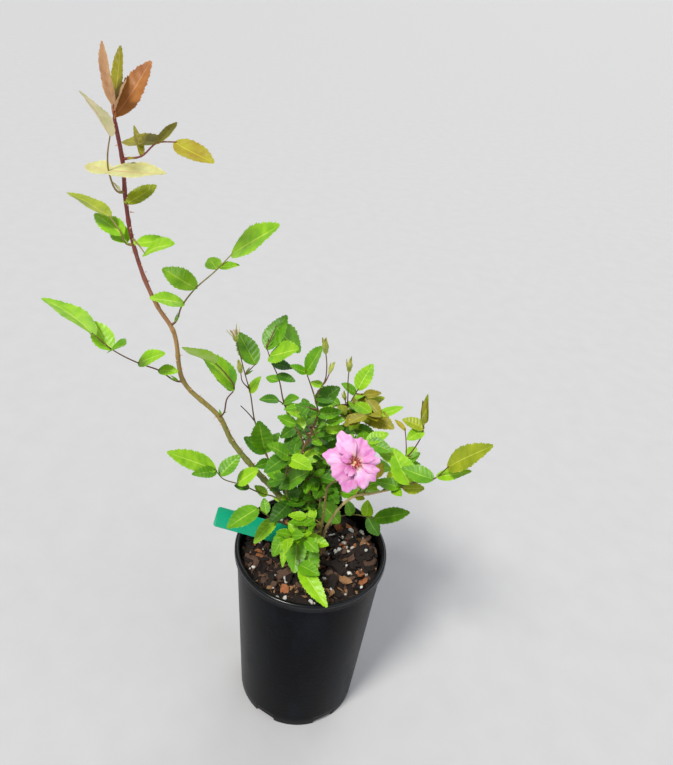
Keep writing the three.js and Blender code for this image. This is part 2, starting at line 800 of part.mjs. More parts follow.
// Twigs by rule, in the form of the ones listed in FOLIAGE.
function twigsByRule({ seed, azimuth, elevation, length }) {
  const random = seeded(seed);
  const vary = (amount) => Math.round(amount * (2 * random() - 1));
  const half = length / 2;
  const first = [azimuth + vary(12), elevation, half];
  const stem = [first, [azimuth + vary(20), elevation + 10, half]];
  const twigs = [{ steps: stem, leaflets: [] }];
  const path = new Path(walk(new THREE.Vector3(), stem));
  const middle = path.at(RULE.spaceAhead / length).point;
  for (let i = 0; i < RULE.leaves; i++) {
    const turn = azimuth - 60 + i * RULE.goldenAngle + vary(10);
    const lift = RULE.lift + vary(10);
    const size = RULE.leaflet * (1 - 0.05 * i) + vary(2);
    const [inner, outer] = RULE.stalk;
    const steps = [[turn, lift, inner], [turn, lift - RULE.droop, outer]];
    const leaflets = [[1, turn, lift - 2 * RULE.droop, RULE.endLeaflet * size]];
    for (const share of RULE.pairs) {
      for (const hand of [-1, 1]) {
        const tilt = lift - RULE.droop + vary(10);
        leaflets.push([share, turn + hand * RULE.spread, tilt, size * (0.5 + 0.5 * share)]);
      }
    }
    const at = (i + 1) / RULE.leaves;
    const end = walk(path.at(at).point, [...steps, leaflets[0].slice(1, 4)]).at(-1);
    if (end.distanceTo(middle) < RULE.spaceRadius) twigs.push({ on: 0, at, steps, leaflets });
  }
  return twigs;
}

// One twig's path, and the solids of the twig and of what it bears, from the point where it starts.
function makeTwig(start, twig, radius) {
  const path = new Path(walk(start, twig.steps));
  const solids = [solid(taperedTube(path, radius, TWIG.end, TWIG.sides))];
  for (const [share, azimuth, elevation, length, turn, width] of twig.leaflets) {
    const { point } = path.at(Math.min(share, LEAF.lastShare));
    solids.push(solid(leaflet(point, azimuth, elevation, length, turn, width)));
  }
  if (twig.end) {
    const { point, along } = path.at(1);
    const root = point.clone().addScaledVector(along, -END_ROOT);
    for (const piece of ENDS[twig.end](root, along)) solids.push(solid(piece));
  }
  return { path, solids };
}

// A mass of foliage: its twigs and leaves fused into one solid that starts just clear of its limb.
function makeFoliage(name) {
  const { limb, at, rule } = FOLIAGE[name];
  const twigs = FOLIAGE[name].twigs ?? twigsByRule(rule);
  const { path, radii } = paths[limb];
  const { point, along } = path.at(at);
  const limbRadius = THREE.MathUtils.lerp(radii[0], radii[1], at);
  const first = direction(twigs[0].steps[0][0], twigs[0].steps[0][1]);
  const start = point.clone();
  let radius = TWIG.start;
  if (at === 1) {
    radius = radii[1];
    start.addScaledVector(along, CLEARANCE + radius * Math.sqrt(1 - first.dot(along) ** 2));
  } else {
    const out = first.clone().addScaledVector(along, -first.dot(along)).normalize();
    start.addScaledVector(out, limbRadius + CLEARANCE + radius * Math.abs(first.dot(along)));
  }
  const grown = [];
  for (const twig of twigs) {
    const from = grown.length ? grown[twig.on].path.at(twig.at).point : start;
    grown.push(makeTwig(from, twig, grown.length ? (TWIG.start + TWIG.end) / 2 : radius));
  }
  const all = grown.flatMap((g) => g.solids);
  return all.reduce((sum, next) => sum.add(next));
}

const bush = new THREE.Group();

// One named mesh of the bush.
function addPart(name, geometry, colour, roughness = 0.7) {
  const material = new THREE.MeshStandardMaterial({
    color: colour,
    roughness,
    metalness: 0,
    side: THREE.DoubleSide,
  });
  const mesh = new THREE.Mesh(geometry, material);
  mesh.name = name;
  bush.add(mesh);
}

addPart("pot", makePot(), COLOURS.pot, 0.5);
addPart("potting_mix", makeMix(), COLOURS.mix, 0.95);
addPart("plant_label", makeLabel(), COLOURS.label, 0.4);
addPart("crown_stem", makeCrown(), COLOURS.wood);
for (const name of Object.keys(LIMBS)) {
  addPart(name, makeLimb(name), name === "main_cane" ? COLOURS.cane : COLOURS.wood);
}
for (const name of Object.keys(FOLIAGE)) {
  addPart(name, geometryOf(makeFoliage(name)), name === "cane_tip" ? COLOURS.youngLeaf : COLOURS.leaf);
}

export default bush;
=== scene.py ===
"""A young rose bush in a tall nursery pot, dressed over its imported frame.

Lengths are millimetres in the frame's own axes until a mesh is made, and metres in the mesh. Directions are an
azimuth in degrees from +X towards +Y and an elevation in degrees above the horizontal.
"""

import logging
import math
from collections.abc import Sequence
from dataclasses import astuple, dataclass, field
from enum import Enum
from functools import cache

import bpy
import numpy as np
from mathutils import Matrix


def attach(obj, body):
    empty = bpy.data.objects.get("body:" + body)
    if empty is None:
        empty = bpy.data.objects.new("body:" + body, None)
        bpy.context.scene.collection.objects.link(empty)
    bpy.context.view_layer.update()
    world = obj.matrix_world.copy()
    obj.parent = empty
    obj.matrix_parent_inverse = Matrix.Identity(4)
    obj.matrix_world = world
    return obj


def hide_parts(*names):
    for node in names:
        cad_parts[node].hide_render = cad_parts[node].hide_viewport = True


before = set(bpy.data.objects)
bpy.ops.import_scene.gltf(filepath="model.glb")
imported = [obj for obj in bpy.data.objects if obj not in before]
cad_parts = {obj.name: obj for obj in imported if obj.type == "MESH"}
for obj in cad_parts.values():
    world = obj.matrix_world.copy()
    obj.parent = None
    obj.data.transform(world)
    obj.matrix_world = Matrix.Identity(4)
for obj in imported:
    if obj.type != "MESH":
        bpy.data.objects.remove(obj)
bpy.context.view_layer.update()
LOG = logging.getLogger("rose_bush")

MM = 0.001
CLEARANCE = 0.3
UP = np.array((0, 0, 1.0))
LIGHT = np.array((-0.15, -0.45, 1.0)) / np.linalg.norm((-0.15, -0.45, 1.0))
GOLDEN_ANGLE = 137.5
OUTER_RING = 6.3
INNER_RING = 2.4

Array = np.ndarray
Pair = tuple[float, float]
Profile = tuple[Pair, ...]
Table = tuple[tuple[float, ...], ...]
Colour = tuple[int, int, int]


# Shader expressions


class Link:
    """A shader socket that adds Math nodes where it stands in an expression."""

    def __init__(self, shader: "Shader", socket: bpy.types.NodeSocket) -> None:
        """Wraps a socket of a shader's node."""
        self.shader = shader
        self.socket = socket

    def math(self, operation: str, first: "Value", second: "Value" = 0.0) -> "Link":
        """Adds one Math node.

        Args:
            operation: The node's operation.
            first: The first operand.
            second: The second operand, where the operation has one.

        Returns:
            The node's result.
        """
        return self.shader.node("ShaderNodeMath", {"operation": operation}, {0: first, 1: second})

    def __add__(self, other: "Value") -> "Link":
        """self + other."""
        return self.math("ADD", self, other)

    __radd__ = __add__

    def __sub__(self, other: "Value") -> "Link":
        """self - other."""
        return self.math("SUBTRACT", self, other)

    def __rsub__(self, other: "Value") -> "Link":
        """other - self."""
        return self.math("SUBTRACT", other, self)

    def __mul__(self, other: "Value") -> "Link":
        """self * other."""
        return self.math("MULTIPLY", self, other)

    __rmul__ = __mul__

    def clamp(self, low: float, high: float) -> "Link":
        """The value mapped from low..high to 0..1 and kept in that range."""
        return self.shader.node("ShaderNodeMapRange", {"clamp": True}, {0: self, 1: low, 2: high})


Value = Link | float | Sequence[float]


def linear(colour: Link | Colour) -> Link | tuple[float, ...]:
    """Turns a screen colour into linear light by undoing the sRGB curve.

    Args:
        colour: Its red, green and blue from 0 to 255, or a link, which passes as it is.

    Returns:
        Its linear red, green, blue and alpha, or the link.
    """
    if isinstance(colour, Link):
        return colour
    share = np.array(colour) / 255
    light = np.where(share <= 0.04045, share / 12.92, ((share + 0.055) / 1.055) ** 2.4)
    return (*light.tolist(), 1.0)


class Shader:
    """One material's node tree, built by expressions."""

    def __init__(self, name: str) -> None:
        """Makes an empty material with a Principled surface.

        Args:
            name: The material's name.
        """
        self.material = bpy.data.materials.new(name)
        self.material.use_nodes = True
        self.tree = self.material.node_tree
        self.tree.nodes.clear()
        self.surface = self.tree.nodes.new("ShaderNodeBsdfPrincipled")
        output = self.tree.nodes.new("ShaderNodeOutputMaterial")
        self.tree.links.new(self.surface.outputs[0], output.inputs[0])

    def feed(self, socket: bpy.types.NodeSocket, value: Value) -> None:
        """Links a Link to a socket, or sets any other value on it.

        Args:
            socket: The socket.
            value: What goes into it.
        """
        if isinstance(value, Link):
            self.tree.links.new(value.socket, socket)
        else:
            socket.default_value = value

    def node(self, kind: str, settings: dict | None = None, inputs: dict | None = None, out: int = 0) -> Link:
        """Adds any node.

        Args:
            kind: The node's type.
            settings: Its own settings, and "stops" for a ramp's positions and colours.
            inputs: Values or links by socket name or number.
            out: Which output is returned.

        Returns:
            The chosen output.
        """
        made = self.tree.nodes.new(kind)
        for key, value in (settings or {}).items():
            if key == "stops":
                self.set_stops(made.color_ramp, value)
            else:
                setattr(made, key, value)
        for key, value in (inputs or {}).items():
            self.feed(made.inputs[key], value)
        return Link(self, made.outputs[out])

    @staticmethod
    def set_stops(ramp: bpy.types.ColorRamp, stops: Sequence[tuple[float, Sequence[float]]]) -> None:
        """Gives a ramp its stops.

        Args:
            ramp: The ramp.
            stops: The position and the screen colour of each.
        """
        while len(ramp.elements) < len(stops):
            ramp.elements.new(1.0)
        for element, (position, colour) in zip(ramp.elements, stops):
            element.position = position
            element.color = linear(colour)

    def place(self, scale: Sequence[float] = (1, 1, 1)) -> Link:
        """Object coordinates in metres, times a scale along each axis."""
        coordinates = self.node("ShaderNodeTexCoord", out=3)
        return self.node("ShaderNodeMapping", {}, {"Vector": coordinates, "Scale": scale})

    def noise(self, vector: Link, scale: float, detail: float, roughness: float = 0.5) -> Link:
        """Fractal noise from 0 to 1 on a vector, with its scale in patches a metre."""
        inputs = {"Vector": vector, "Scale": scale, "Detail": detail, "Roughness": roughness}
        return self.node("ShaderNodeTexNoise", {}, inputs)

    def mix(self, factor: Value, first: Link | Colour, second: Link | Colour) -> Link:
        """A colour between two, by a factor."""
        inputs = {0: factor, 6: linear(first), 7: linear(second)}
        return self.node("ShaderNodeMix", {"data_type": "RGBA"}, inputs, out=2)

    def bump(self, height: Link, distance: float, strength: float) -> Link:
        """A normal tilted by a height, with its depth in metres."""
        inputs = {"Height": height, "Distance": distance, "Strength": strength}
        return self.node("ShaderNodeBump", {}, inputs)

    def axis(self, vector: Link, number: int) -> Link:
        """One component of a vector."""
        return self.node("ShaderNodeSeparateXYZ", {}, {0: vector}, out=number)

    def finish(self, **values: Value) -> bpy.types.Material:
        """Sets the surface's sockets.

        Args:
            values: The values or links by the sockets' names, with underscores for spaces.

        Returns:
            The material.
        """
        for key, value in values.items():
            self.feed(self.surface.inputs[key.replace("_", " ")], value)
        return self.material


# Finishes


@dataclass(frozen=True)
class LeafFinish:
    """Leaf tissue: a colour mottled with its shade, and a fine grain; sheen is the waxy coat on it."""

    name: str
    colour: Colour
    shade: Colour
    roughness: float = 0.42
    sheen: float = 0.12

    def material(self) -> bpy.types.Material:
        """Makes the material: two colours mixed by soft noise, with a bump of cells.

        Returns:
            The material.
        """
        s = Shader(self.name)
        place = s.place()
        mottle = s.noise(place, 150.0, 4.0)
        cells = s.noise(place, 1400.0, 2.0)
        colour = s.mix(mottle.clamp(0.35, 0.68) * 0.75 + cells * 0.2, self.colour, self.shade)
        return s.finish(
            Base_Color=colour,
            Roughness=self.roughness + mottle * 0.12,
            Specular_IOR_Level=0.28,
            Coat_Weight=self.sheen,
            Coat_Roughness=0.24,
            Normal=s.bump(cells + mottle * 0.5, 0.00012, 0.6),
        )


@dataclass(frozen=True)
class StemFinish:
    """Stem skin: a colour for each height in millimetres, lowest first, with streaks along it and pale pores.

    streak says how strongly the streaks show.
    """

    name: str
    stops: tuple[tuple[float, Colour], ...]
    roughness: float = 0.5
    streak: float = 0.5

    def material(self) -> bpy.types.Material:
        """Makes the material: a ramp on Z, darkened by streaks and dotted with pores.

        Returns:
            The material.
        """
        s = Shader(self.name)
        place = s.place()
        low = self.stops[0][0]
        span = max(self.stops[-1][0] - low, 1.0)
        wander = s.noise(place, 60.0, 3.0) * 0.12 - 0.06
        share = (s.axis(place, 2) - low * MM) * (1 / (span * MM)) + wander
        stops = [((height - low) / span, colour) for height, colour in self.stops]
        base = s.node("ShaderNodeValToRGB", {"stops": stops}, {0: share})
        streaks = s.noise(s.place((1, 1, 0.16)), 900.0, 3.0)
        pores = s.noise(place, 700.0, 1.0)
        dark = s.mix(streaks.clamp(0.45, 0.75) * self.streak, base, (70, 48, 28))
        pale = s.mix(pores.clamp(0.68, 0.78) * 0.45, dark, (214, 186, 140))
        return s.finish(
            Base_Color=pale,
            Roughness=self.roughness + streaks * 0.15,
            Coat_Weight=0.15,
            Coat_Roughness=0.35,
            Normal=s.bump(streaks + pores * 0.4, 0.00025, 0.7),
        )


@dataclass(frozen=True)
class PetalFinish:
    """Petal: the claw's cream, then pale and pink in soft streaks, deepened towards its foot and its rim."""

    name: str = "petal"
    claw: Colour = (248, 222, 192)
    pale: Colour = (249, 204, 237)
    pink: Colour = (224, 116, 198)
    deep: Colour = (186, 38, 142)

    def material(self) -> bpy.types.Material:
        """Makes the material from the "petal" attribute: across it, along it, and how deep its pink is.

        Returns:
            The material.
        """
        s = Shader(self.name)
        spot = s.node("ShaderNodeAttribute", {"attribute_name": "petal"}, out=1)
        across, along, depth = (s.axis(spot, k) for k in range(3))
        veins = s.node("ShaderNodeMapping", {}, {"Vector": spot, "Scale": (9, 1.2, 40)})
        streaks = s.noise(veins, 1.6, 3.0)
        clouds = s.noise(s.place(), 190.0, 2.0)
        body = s.mix(streaks.clamp(0.25, 0.9) * 0.5 + clouds.clamp(0.4, 0.65) * 0.5, self.pale, self.pink)
        edged = s.mix((across * across * 0.3 + depth * (1.25 - along)).clamp(0.05, 1.15), body, self.deep)
        colour = s.mix(along.clamp(0.44, 0.16), edged, self.claw)
        return s.finish(
            Base_Color=colour,
            Roughness=0.55,
            Coat_Weight=0.05,
            Normal=s.bump(streaks, 0.0002, 0.5),
        )


@dataclass(frozen=True)
class PlasticFinish:
    """Moulded plastic with a soft sheen, fine flow marks and dust.

    dustiness says how much dust clings, grain is its relief in metres, and gloss how strongly it mirrors. polish
    is how much more its handled edge shines, from the height edge in millimetres upwards.
    """

    name: str
    colour: Colour
    dust: Colour
    dustiness: float
    roughness: float
    grain: float
    gloss: float = 0.4
    polish: float = 0.0
    edge: float = 134.0

    def material(self) -> bpy.types.Material:
        """Makes the material: smears and specks of dust over one colour, rougher where the dust lies.

        Returns:
            The material.
        """
        s = Shader(self.name)
        place = s.place()
        smears = s.noise(s.place((1, 1, 0.35)), 38.0, 5.0, 0.62)
        specks = s.noise(place, 520.0, 2.0)
        flow = s.noise(s.place((1, 1, 6)), 90.0, 2.0)
        dirt = smears.clamp(0.5, 0.78) * 0.6 + specks.clamp(0.64, 0.72) * 0.5
        colour = s.mix((dirt * self.dustiness).clamp(0, 1), self.colour, self.dust)
        return s.finish(
            Base_Color=colour,
            Roughness=self.roughness + dirt * 0.25,
            Specular_IOR_Level=self.gloss,
            Coat_Weight=s.axis(place, 2).clamp(self.edge * MM, (self.edge + 3) * MM) * self.polish,
            Coat_Roughness=0.22,
            Normal=s.bump(flow * 0.5 + specks, self.grain, 0.5),
        )


@dataclass(frozen=True)
class EarthFinish:
    """Damp potting mix and what lies in it: a colour, a darker colour painted into its hollows as painted shade,
    and pale, dry specks.

    grain is its relief in metres, and scale the patches a metre of its coarse noise.
    """

    name: str
    colour: Colour
    shade: Colour
    pale: Colour
    grain: float = 0.0006
    scale: float = 420.0

    def material(self) -> bpy.types.Material:
        """Makes the material: a main colour darkened in the hollows of its bump by painted shade, and speckled
        pale.

        Returns:
            The material.
        """
        s = Shader(self.name)
        place = s.place()
        coarse = s.noise(place, self.scale, 5.0, 0.65)
        fine = s.noise(place, self.scale * 5, 2.0)
        # painted shade: the shade colour goes where the coarse noise is low, and the low patches of that same
        # noise are the bump's hollows
        body = s.mix(coarse.clamp(0.36, 0.62), self.shade, self.colour)
        colour = s.mix(fine.clamp(0.66, 0.8) * 0.6, body, self.pale)
        return s.finish(
            Base_Color=colour,
            Roughness=0.95 - fine * 0.25,
            Specular_IOR_Level=0.3,
            Normal=s.bump(coarse + fine * 0.4, self.grain, 0.9),
        )


@cache
def finished(name: str) -> bpy.types.Material:
    """The material of a named finish, made when it is first asked for."""
    return FINISHES[name].material()


# Shapes


def unit(vectors: Array) -> Array:
    """Vectors scaled to a length of one along the last axis."""
    return vectors / np.maximum(np.linalg.norm(vectors, axis=-1, keepdims=True), 1e-9)


def heading(azimuth: float | Array, elevation: float | Array) -> Array:
    """The unit vector of an azimuth and an elevation in degrees: the point on a globe at that bearing."""
    a, e = np.radians(azimuth), np.radians(elevation)
    return np.stack([np.cos(e) * np.cos(a), np.cos(e) * np.sin(a), np.sin(e)], axis=-1)


def between(first: float | Array, last: float | Array, share: float | Array) -> float | Array:
    """The value at a share of the way from a first to a last."""
    return first + (last - first) * share


def square(vectors: Array, along: Array) -> Array:
    """Vectors turned square to directions and scaled to one."""
    return unit(vectors - along * np.sum(vectors * along, axis=-1, keepdims=True))


def swing(side: Array, up: Array, turn: Array) -> Array:
    """Directions at turns in radians from a side towards an up: the cosine of one plus the sine of the other."""
    return side * np.cos(turn)[..., None] + up * np.sin(turn)[..., None]


def circles(along: Array, overall: Array, around: int) -> Array:
    """Circles of radius one square to directions, started from the axis that lies least along them.

    Args:
        along: The directions, (..., 3).
        overall: The directions that the axis is chosen by.
        around: How many points a circle has.

    Returns:
        The points, (..., around, 3), turning to the right hand round each direction.
    """
    side = square(np.eye(3)[np.argmin(np.abs(overall), axis=-1)], along)
    turn = np.linspace(0, 2 * np.pi, around, endpoint=False)
    return swing(side[..., None, :], np.cross(along, side)[..., None, :], turn)


def walk(start: Array, steps: Sequence[Sequence[float]]) -> Array:
    """The corners of a path.

    Args:
        start: Its first corner.
        steps: The azimuth, elevation and length of each step.

    Returns:
        The corners: the start, then each step's heading times its length, added up.
    """
    azimuth, elevation, length = np.array(steps, dtype=float)[:, :3].T
    moves = heading(azimuth, elevation) * length[:, None]
    return np.vstack([start, start + np.cumsum(moves, axis=0)])


@dataclass
class Path:
    """A path through corners in millimetres; reach is the length travelled at each."""

    corners: Array
    reach: Array = field(init=False)

    def __post_init__(self) -> None:
        """Adds up the lengths of the spans."""
        spans = np.linalg.norm(np.diff(self.corners, axis=0), axis=1)
        self.reach = np.concatenate([[0.0], np.cumsum(spans)])

    def at(self, share: float) -> tuple[Array, Array]:
        """Finds a place on the path.

        Args:
            share: How far along it, from 0 to 1.

        Returns:
            The point and the direction of travel there.
        """
        wanted = share * self.reach[-1]
        i = int(np.clip(np.searchsorted(self.reach, wanted), 1, len(self.corners) - 1))
        along = unit(self.corners[i] - self.corners[i - 1])
        return self.corners[i - 1] + along * (wanted - self.reach[i - 1]), along

    def smooth(self, spacing: float) -> Array:
        """A smooth line through the corners: cubic spans whose tangents run from corner to corner.

        Args:
            spacing: Roughly how far apart the points lie.

        Returns:
            The points, evenly shared out over each span.
        """
        p = self.corners
        spans = np.diff(self.reach)
        slopes = np.diff(p, axis=0) / spans[:, None]
        inner = (slopes[:-1] * spans[1:, None] + slopes[1:] * spans[:-1, None]) / (spans[:-1] + spans[1:])[:, None]
        tangents = np.vstack([slopes[:1], inner, slopes[-1:]])
        wanted = np.linspace(0, self.reach[-1], max(4, int(self.reach[-1] / spacing)) + 1)
        i = np.clip(np.searchsorted(self.reach, wanted, side="right") - 1, 0, len(spans) - 1)
        h = spans[i][:, None]
        t = ((wanted - self.reach[i]) / spans[i])[:, None]
        start = (2 * t**3 - 3 * t**2 + 1) * p[i] + (t**3 - 2 * t**2 + t) * h * tangents[i]
        end = (3 * t**2 - 2 * t**3) * p[i + 1] + (t**3 - t**2) * h * tangents[i + 1]
        return start + end


def tube(centres: Array, radii: Array, around: int) -> Array:
    """Rings round lines: circles square to each line's direction of travel, all started from one side.

    Args:
        centres: The lines' points, (..., rows, 3).
        radii: The radius at each point, (..., rows).
        around: How many points a ring has.

    Returns:
        The rings' points, (..., rows, around, 3), turning to the right hand round the direction of travel.
    """
    along = unit(np.gradient(centres, axis=-2))
    overall = unit(centres[..., -1:, :] - centres[..., :1, :])
    return centres[..., None, :] + radii[..., None, None] * circles(along, overall, around)


def spun(base: Array, along: Array, profile: Sequence[Sequence[float]], around: int) -> Array:
    """Rings of a turned shape: a profile of (distance along, radius) carried round an axis.

    Args:
        base: Where the axis starts, (..., 3).
        along: The axis's direction, (..., 3).
        profile: The distance along the axis and the radius of each ring.
        around: How many points a ring has.

    Returns:
        The rings' points, (..., rows, around, 3).
    """
    reach, radii = np.array(profile, dtype=float).T
    centres = base[..., None, :] + reach[:, None] * along[..., None, :]
    return centres[..., None, :] + radii[:, None, None] * circles(along, along, around)[..., None, :, :]


def ripples(points: Array, seed: int, length: float, count: int = 14) -> Array:
    """Smooth noise from about -1 to 1: plane waves of one length with seeded bearings and phases, added up.

    Args:
        points: Where it is wanted, (..., dimensions).
        seed: The seed of its bearings.
        length: The wave length in millimetres.
        count: How many waves are added.

    Returns:
        The noise at each point.
    """
    rng = np.random.default_rng(seed)
    waves = unit(rng.normal(size=(count, points.shape[-1]))) * rng.uniform(0.7, 1.6, (count, 1))
    phase = rng.uniform(0, 2 * np.pi, count)
    return np.sin(points @ waves.T * (2 * np.pi / length) + phase).sum(axis=-1) / math.sqrt(count)


class Gather:
    """Closed shells of rings, gathered into one mesh with a material slot for each face."""

    def __init__(self) -> None:
        """Starts with nothing gathered."""
        self.points: list[Array] = []
        self.faces: list[tuple[Array, Array]] = []
        self.notes: list[Array] = []
        self.count = 0

    def rings(self, rings: Array, slots: Array | int = 0) -> "Gather":
        """Adds shells: quads between neighbouring rings, and one flat face over each end.

        Args:
            rings: The points, (shells, rows, around, 3) or one shell's (rows, around, 3).
            slots: The material slots, spread over (shells, rows - 1, around).

        Returns:
            The same gather.
        """
        if rings.ndim == 3:
            rings = rings[None]
        shells, rows, around, _ = rings.shape
        index = np.arange(shells * rows * around).reshape(shells, rows, around) + self.count
        near, far = index[:, :-1], index[:, 1:]
        quads = np.stack([near, np.roll(near, -1, 2), np.roll(far, -1, 2), far], axis=-1)
        per_face = np.broadcast_to(np.asarray(slots), (shells, rows - 1, around))
        self.faces.append((quads.reshape(-1, 4), per_face.reshape(-1)))
        self.faces.append((index[:, 0, ::-1], per_face[:, 0, 0]))
        self.faces.append((index[:, -1], per_face[:, -1, 0]))
        self.points.append(rings.reshape(-1, 3))
        self.count += rings.size // 3
        return self

    def sheets(self, top: Array, bottom: Array, notes: Array) -> "Gather":
        """Adds closed sheets: a grid of points above, one below, and a strip that joins their rims.

        A gather that holds sheets holds no rings, which have no notes.

        Args:
            top: The upper points, (sheets, rows, columns, 3), turning to the left from row to column.
            bottom: The lower points.
            notes: A vector kept at each upper point, and at the lower one under it, as the "petal" attribute.

        Returns:
            The same gather.
        """
        count, rows, columns, _ = top.shape
        index = np.arange(top.size // 3).reshape(count, rows, columns) + self.count
        below = index + top.size // 3
        rim = [(np.s_[:, :-1, 0], np.s_[:, 1:, 0]), (np.s_[:, -1, :-1], np.s_[:, -1, 1:]),
               (np.s_[:, :0:-1, -1], np.s_[:, -2::-1, -1]), (np.s_[:, 0, :0:-1], np.s_[:, 0, -2::-1])]
        a, b, c, d = index[:, :-1, :-1], index[:, 1:, :-1], index[:, 1:, 1:], index[:, :-1, 1:]
        e, f, g, h = below[:, :-1, :-1], below[:, 1:, :-1], below[:, 1:, 1:], below[:, :-1, 1:]
        quads = [(a, b, c, d), (e, h, g, f)]
        quads += [(index[far], index[near], below[near], below[far]) for near, far in rim]
        faces = np.concatenate([np.stack(quad, -1).reshape(-1, 4) for quad in quads])
        self.faces.append((faces, np.zeros(len(faces))))
        self.points += [top.reshape(-1, 3), bottom.reshape(-1, 3)]
        self.notes += 2 * [notes.reshape(-1, 3)]
        self.count += 2 * (top.size // 3)
        return self

    def piece(self, name: str, finishes: Sequence[str], crease: float) -> bpy.types.Object:
        """Puts what was gathered into one mesh object.

        Args:
            name: The piece's name.
            finishes: The finishes of its slots.
            crease: The angle in degrees past which an edge is sharp.

        Returns:
            The object, at the origin, with its place in its mesh.
        """
        mesh = bpy.data.meshes.new(name)
        points = np.concatenate(self.points) * MM
        mesh.vertices.add(len(points))
        mesh.vertices.foreach_set("co", points.astype(np.float32).ravel())
        corners = np.concatenate([faces.ravel() for faces, _ in self.faces])
        sizes = np.concatenate([np.full(len(faces), faces.shape[1]) for faces, _ in self.faces])
        mesh.loops.add(len(corners))
        mesh.loops.foreach_set("vertex_index", corners.astype(np.int32))
        mesh.polygons.add(len(sizes))
        starts = np.concatenate([[0], np.cumsum(sizes)[:-1]])
        mesh.polygons.foreach_set("loop_start", starts.astype(np.int32))
        slots = np.concatenate([slots for _, slots in self.faces])
        mesh.polygons.foreach_set("material_index", slots.astype(np.int32))
        mesh.polygons.foreach_set("use_smooth", np.ones(len(sizes), dtype=bool))
        for finish in finishes:
            mesh.materials.append(finished(finish))
        if self.notes:
            attribute = mesh.attributes.new("petal", "FLOAT_VECTOR", "POINT")
            attribute.data.foreach_set("vector", np.concatenate(self.notes).astype(np.float32).ravel())
        mesh.update(calc_edges=True)
        mesh.validate()
        mesh.set_sharp_from_angle(angle=math.radians(crease))
        made = bpy.data.objects.new(name, mesh)
        bpy.context.collection.objects.link(made)
        LOG.info("%s: %d points, %d faces", name, len(points), len(sizes))
        return made


def settle(piece: bpy.types.Object, slot: str, *nodes: str) -> None:
    """Makes a piece ride with the pot and stand for nodes of the frame.

    Args:
        piece: The piece.
        slot: Not used.
        nodes: The nodes that it stands for.
    """
    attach(piece, "root")
    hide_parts(*nodes)


# Growth: the rule that the frame's own solids were grown by, and its tables


class Seeded:
    """A repeatable stream of numbers from 0 to 1: a 32-bit counter, scrambled by shifts and products."""

    def __init__(self, seed: int) -> None:
        """Starts the counter at a seed."""
        self.state = seed

    def __call__(self) -> float:
        """Moves the counter on by an odd step and scrambles it.

        Returns:
            The next number.
        """
        self.state = (self.state + 0x6D2B79F5) & 0xFFFFFFFF
        t = self.state
        t = (t ^ (t >> 15)) * (t | 1) & 0xFFFFFFFF
        t = (t + ((t ^ (t >> 7)) * (t | 61) & 0xFFFFFFFF) & 0xFFFFFFFF) ^ t
        return (t ^ (t >> 14)) / 2**32

    def vary(self, amount: float) -> int:
        """A whole number from -amount to amount."""
        return math.floor(amount * (2 * self() - 1) + 0.5)


class End(Enum):
    """What ends a twig."""

    LEAF = "leaf"
    BUD = "bud"
    SMALL_BUD = "small bud"
    YOUNG_SHOOT = "young shoot"
    CUP = "spent cup"
    BLOOM = "bloom"


class Tint(Enum):
    """The colours that leaves come in: partly their own tones and partly painted light and shade."""

    FRESH = 0
    BRIGHT = 1
    MID = 2
    DEEP = 3
    GOLD = 4
    COPPER = 5
    BLUSH = 6
    OLIVE = 7
    ROSE = 8
    BRONZE = 9


@dataclass(frozen=True)
class Limb:
    """A cane or shoot that stands on the crown.

    It stands at a bearing (turn, in degrees) on a ring of the crown's top. radii are its radius at its foot and
    its tip, and steps the azimuth, elevation and length of each step.
    """

    ring: float
    turn: float
    radii: Pair
    steps: Table


@dataclass(frozen=True)
class Twig:
    """A stalk with its leaflets.

    Attributes:
        steps: Its azimuth, elevation and length, step by step.
        leaflets: Share of the stalk, azimuth, elevation and length of each, then its turn and width.
        on: The number of the twig that carries it.
        at: The share of that twig's length where it starts.
        end: What ends it.
    """

    steps: Table
    leaflets: Table
    on: int = 0
    at: float = 1.0
    end: End = End.LEAF


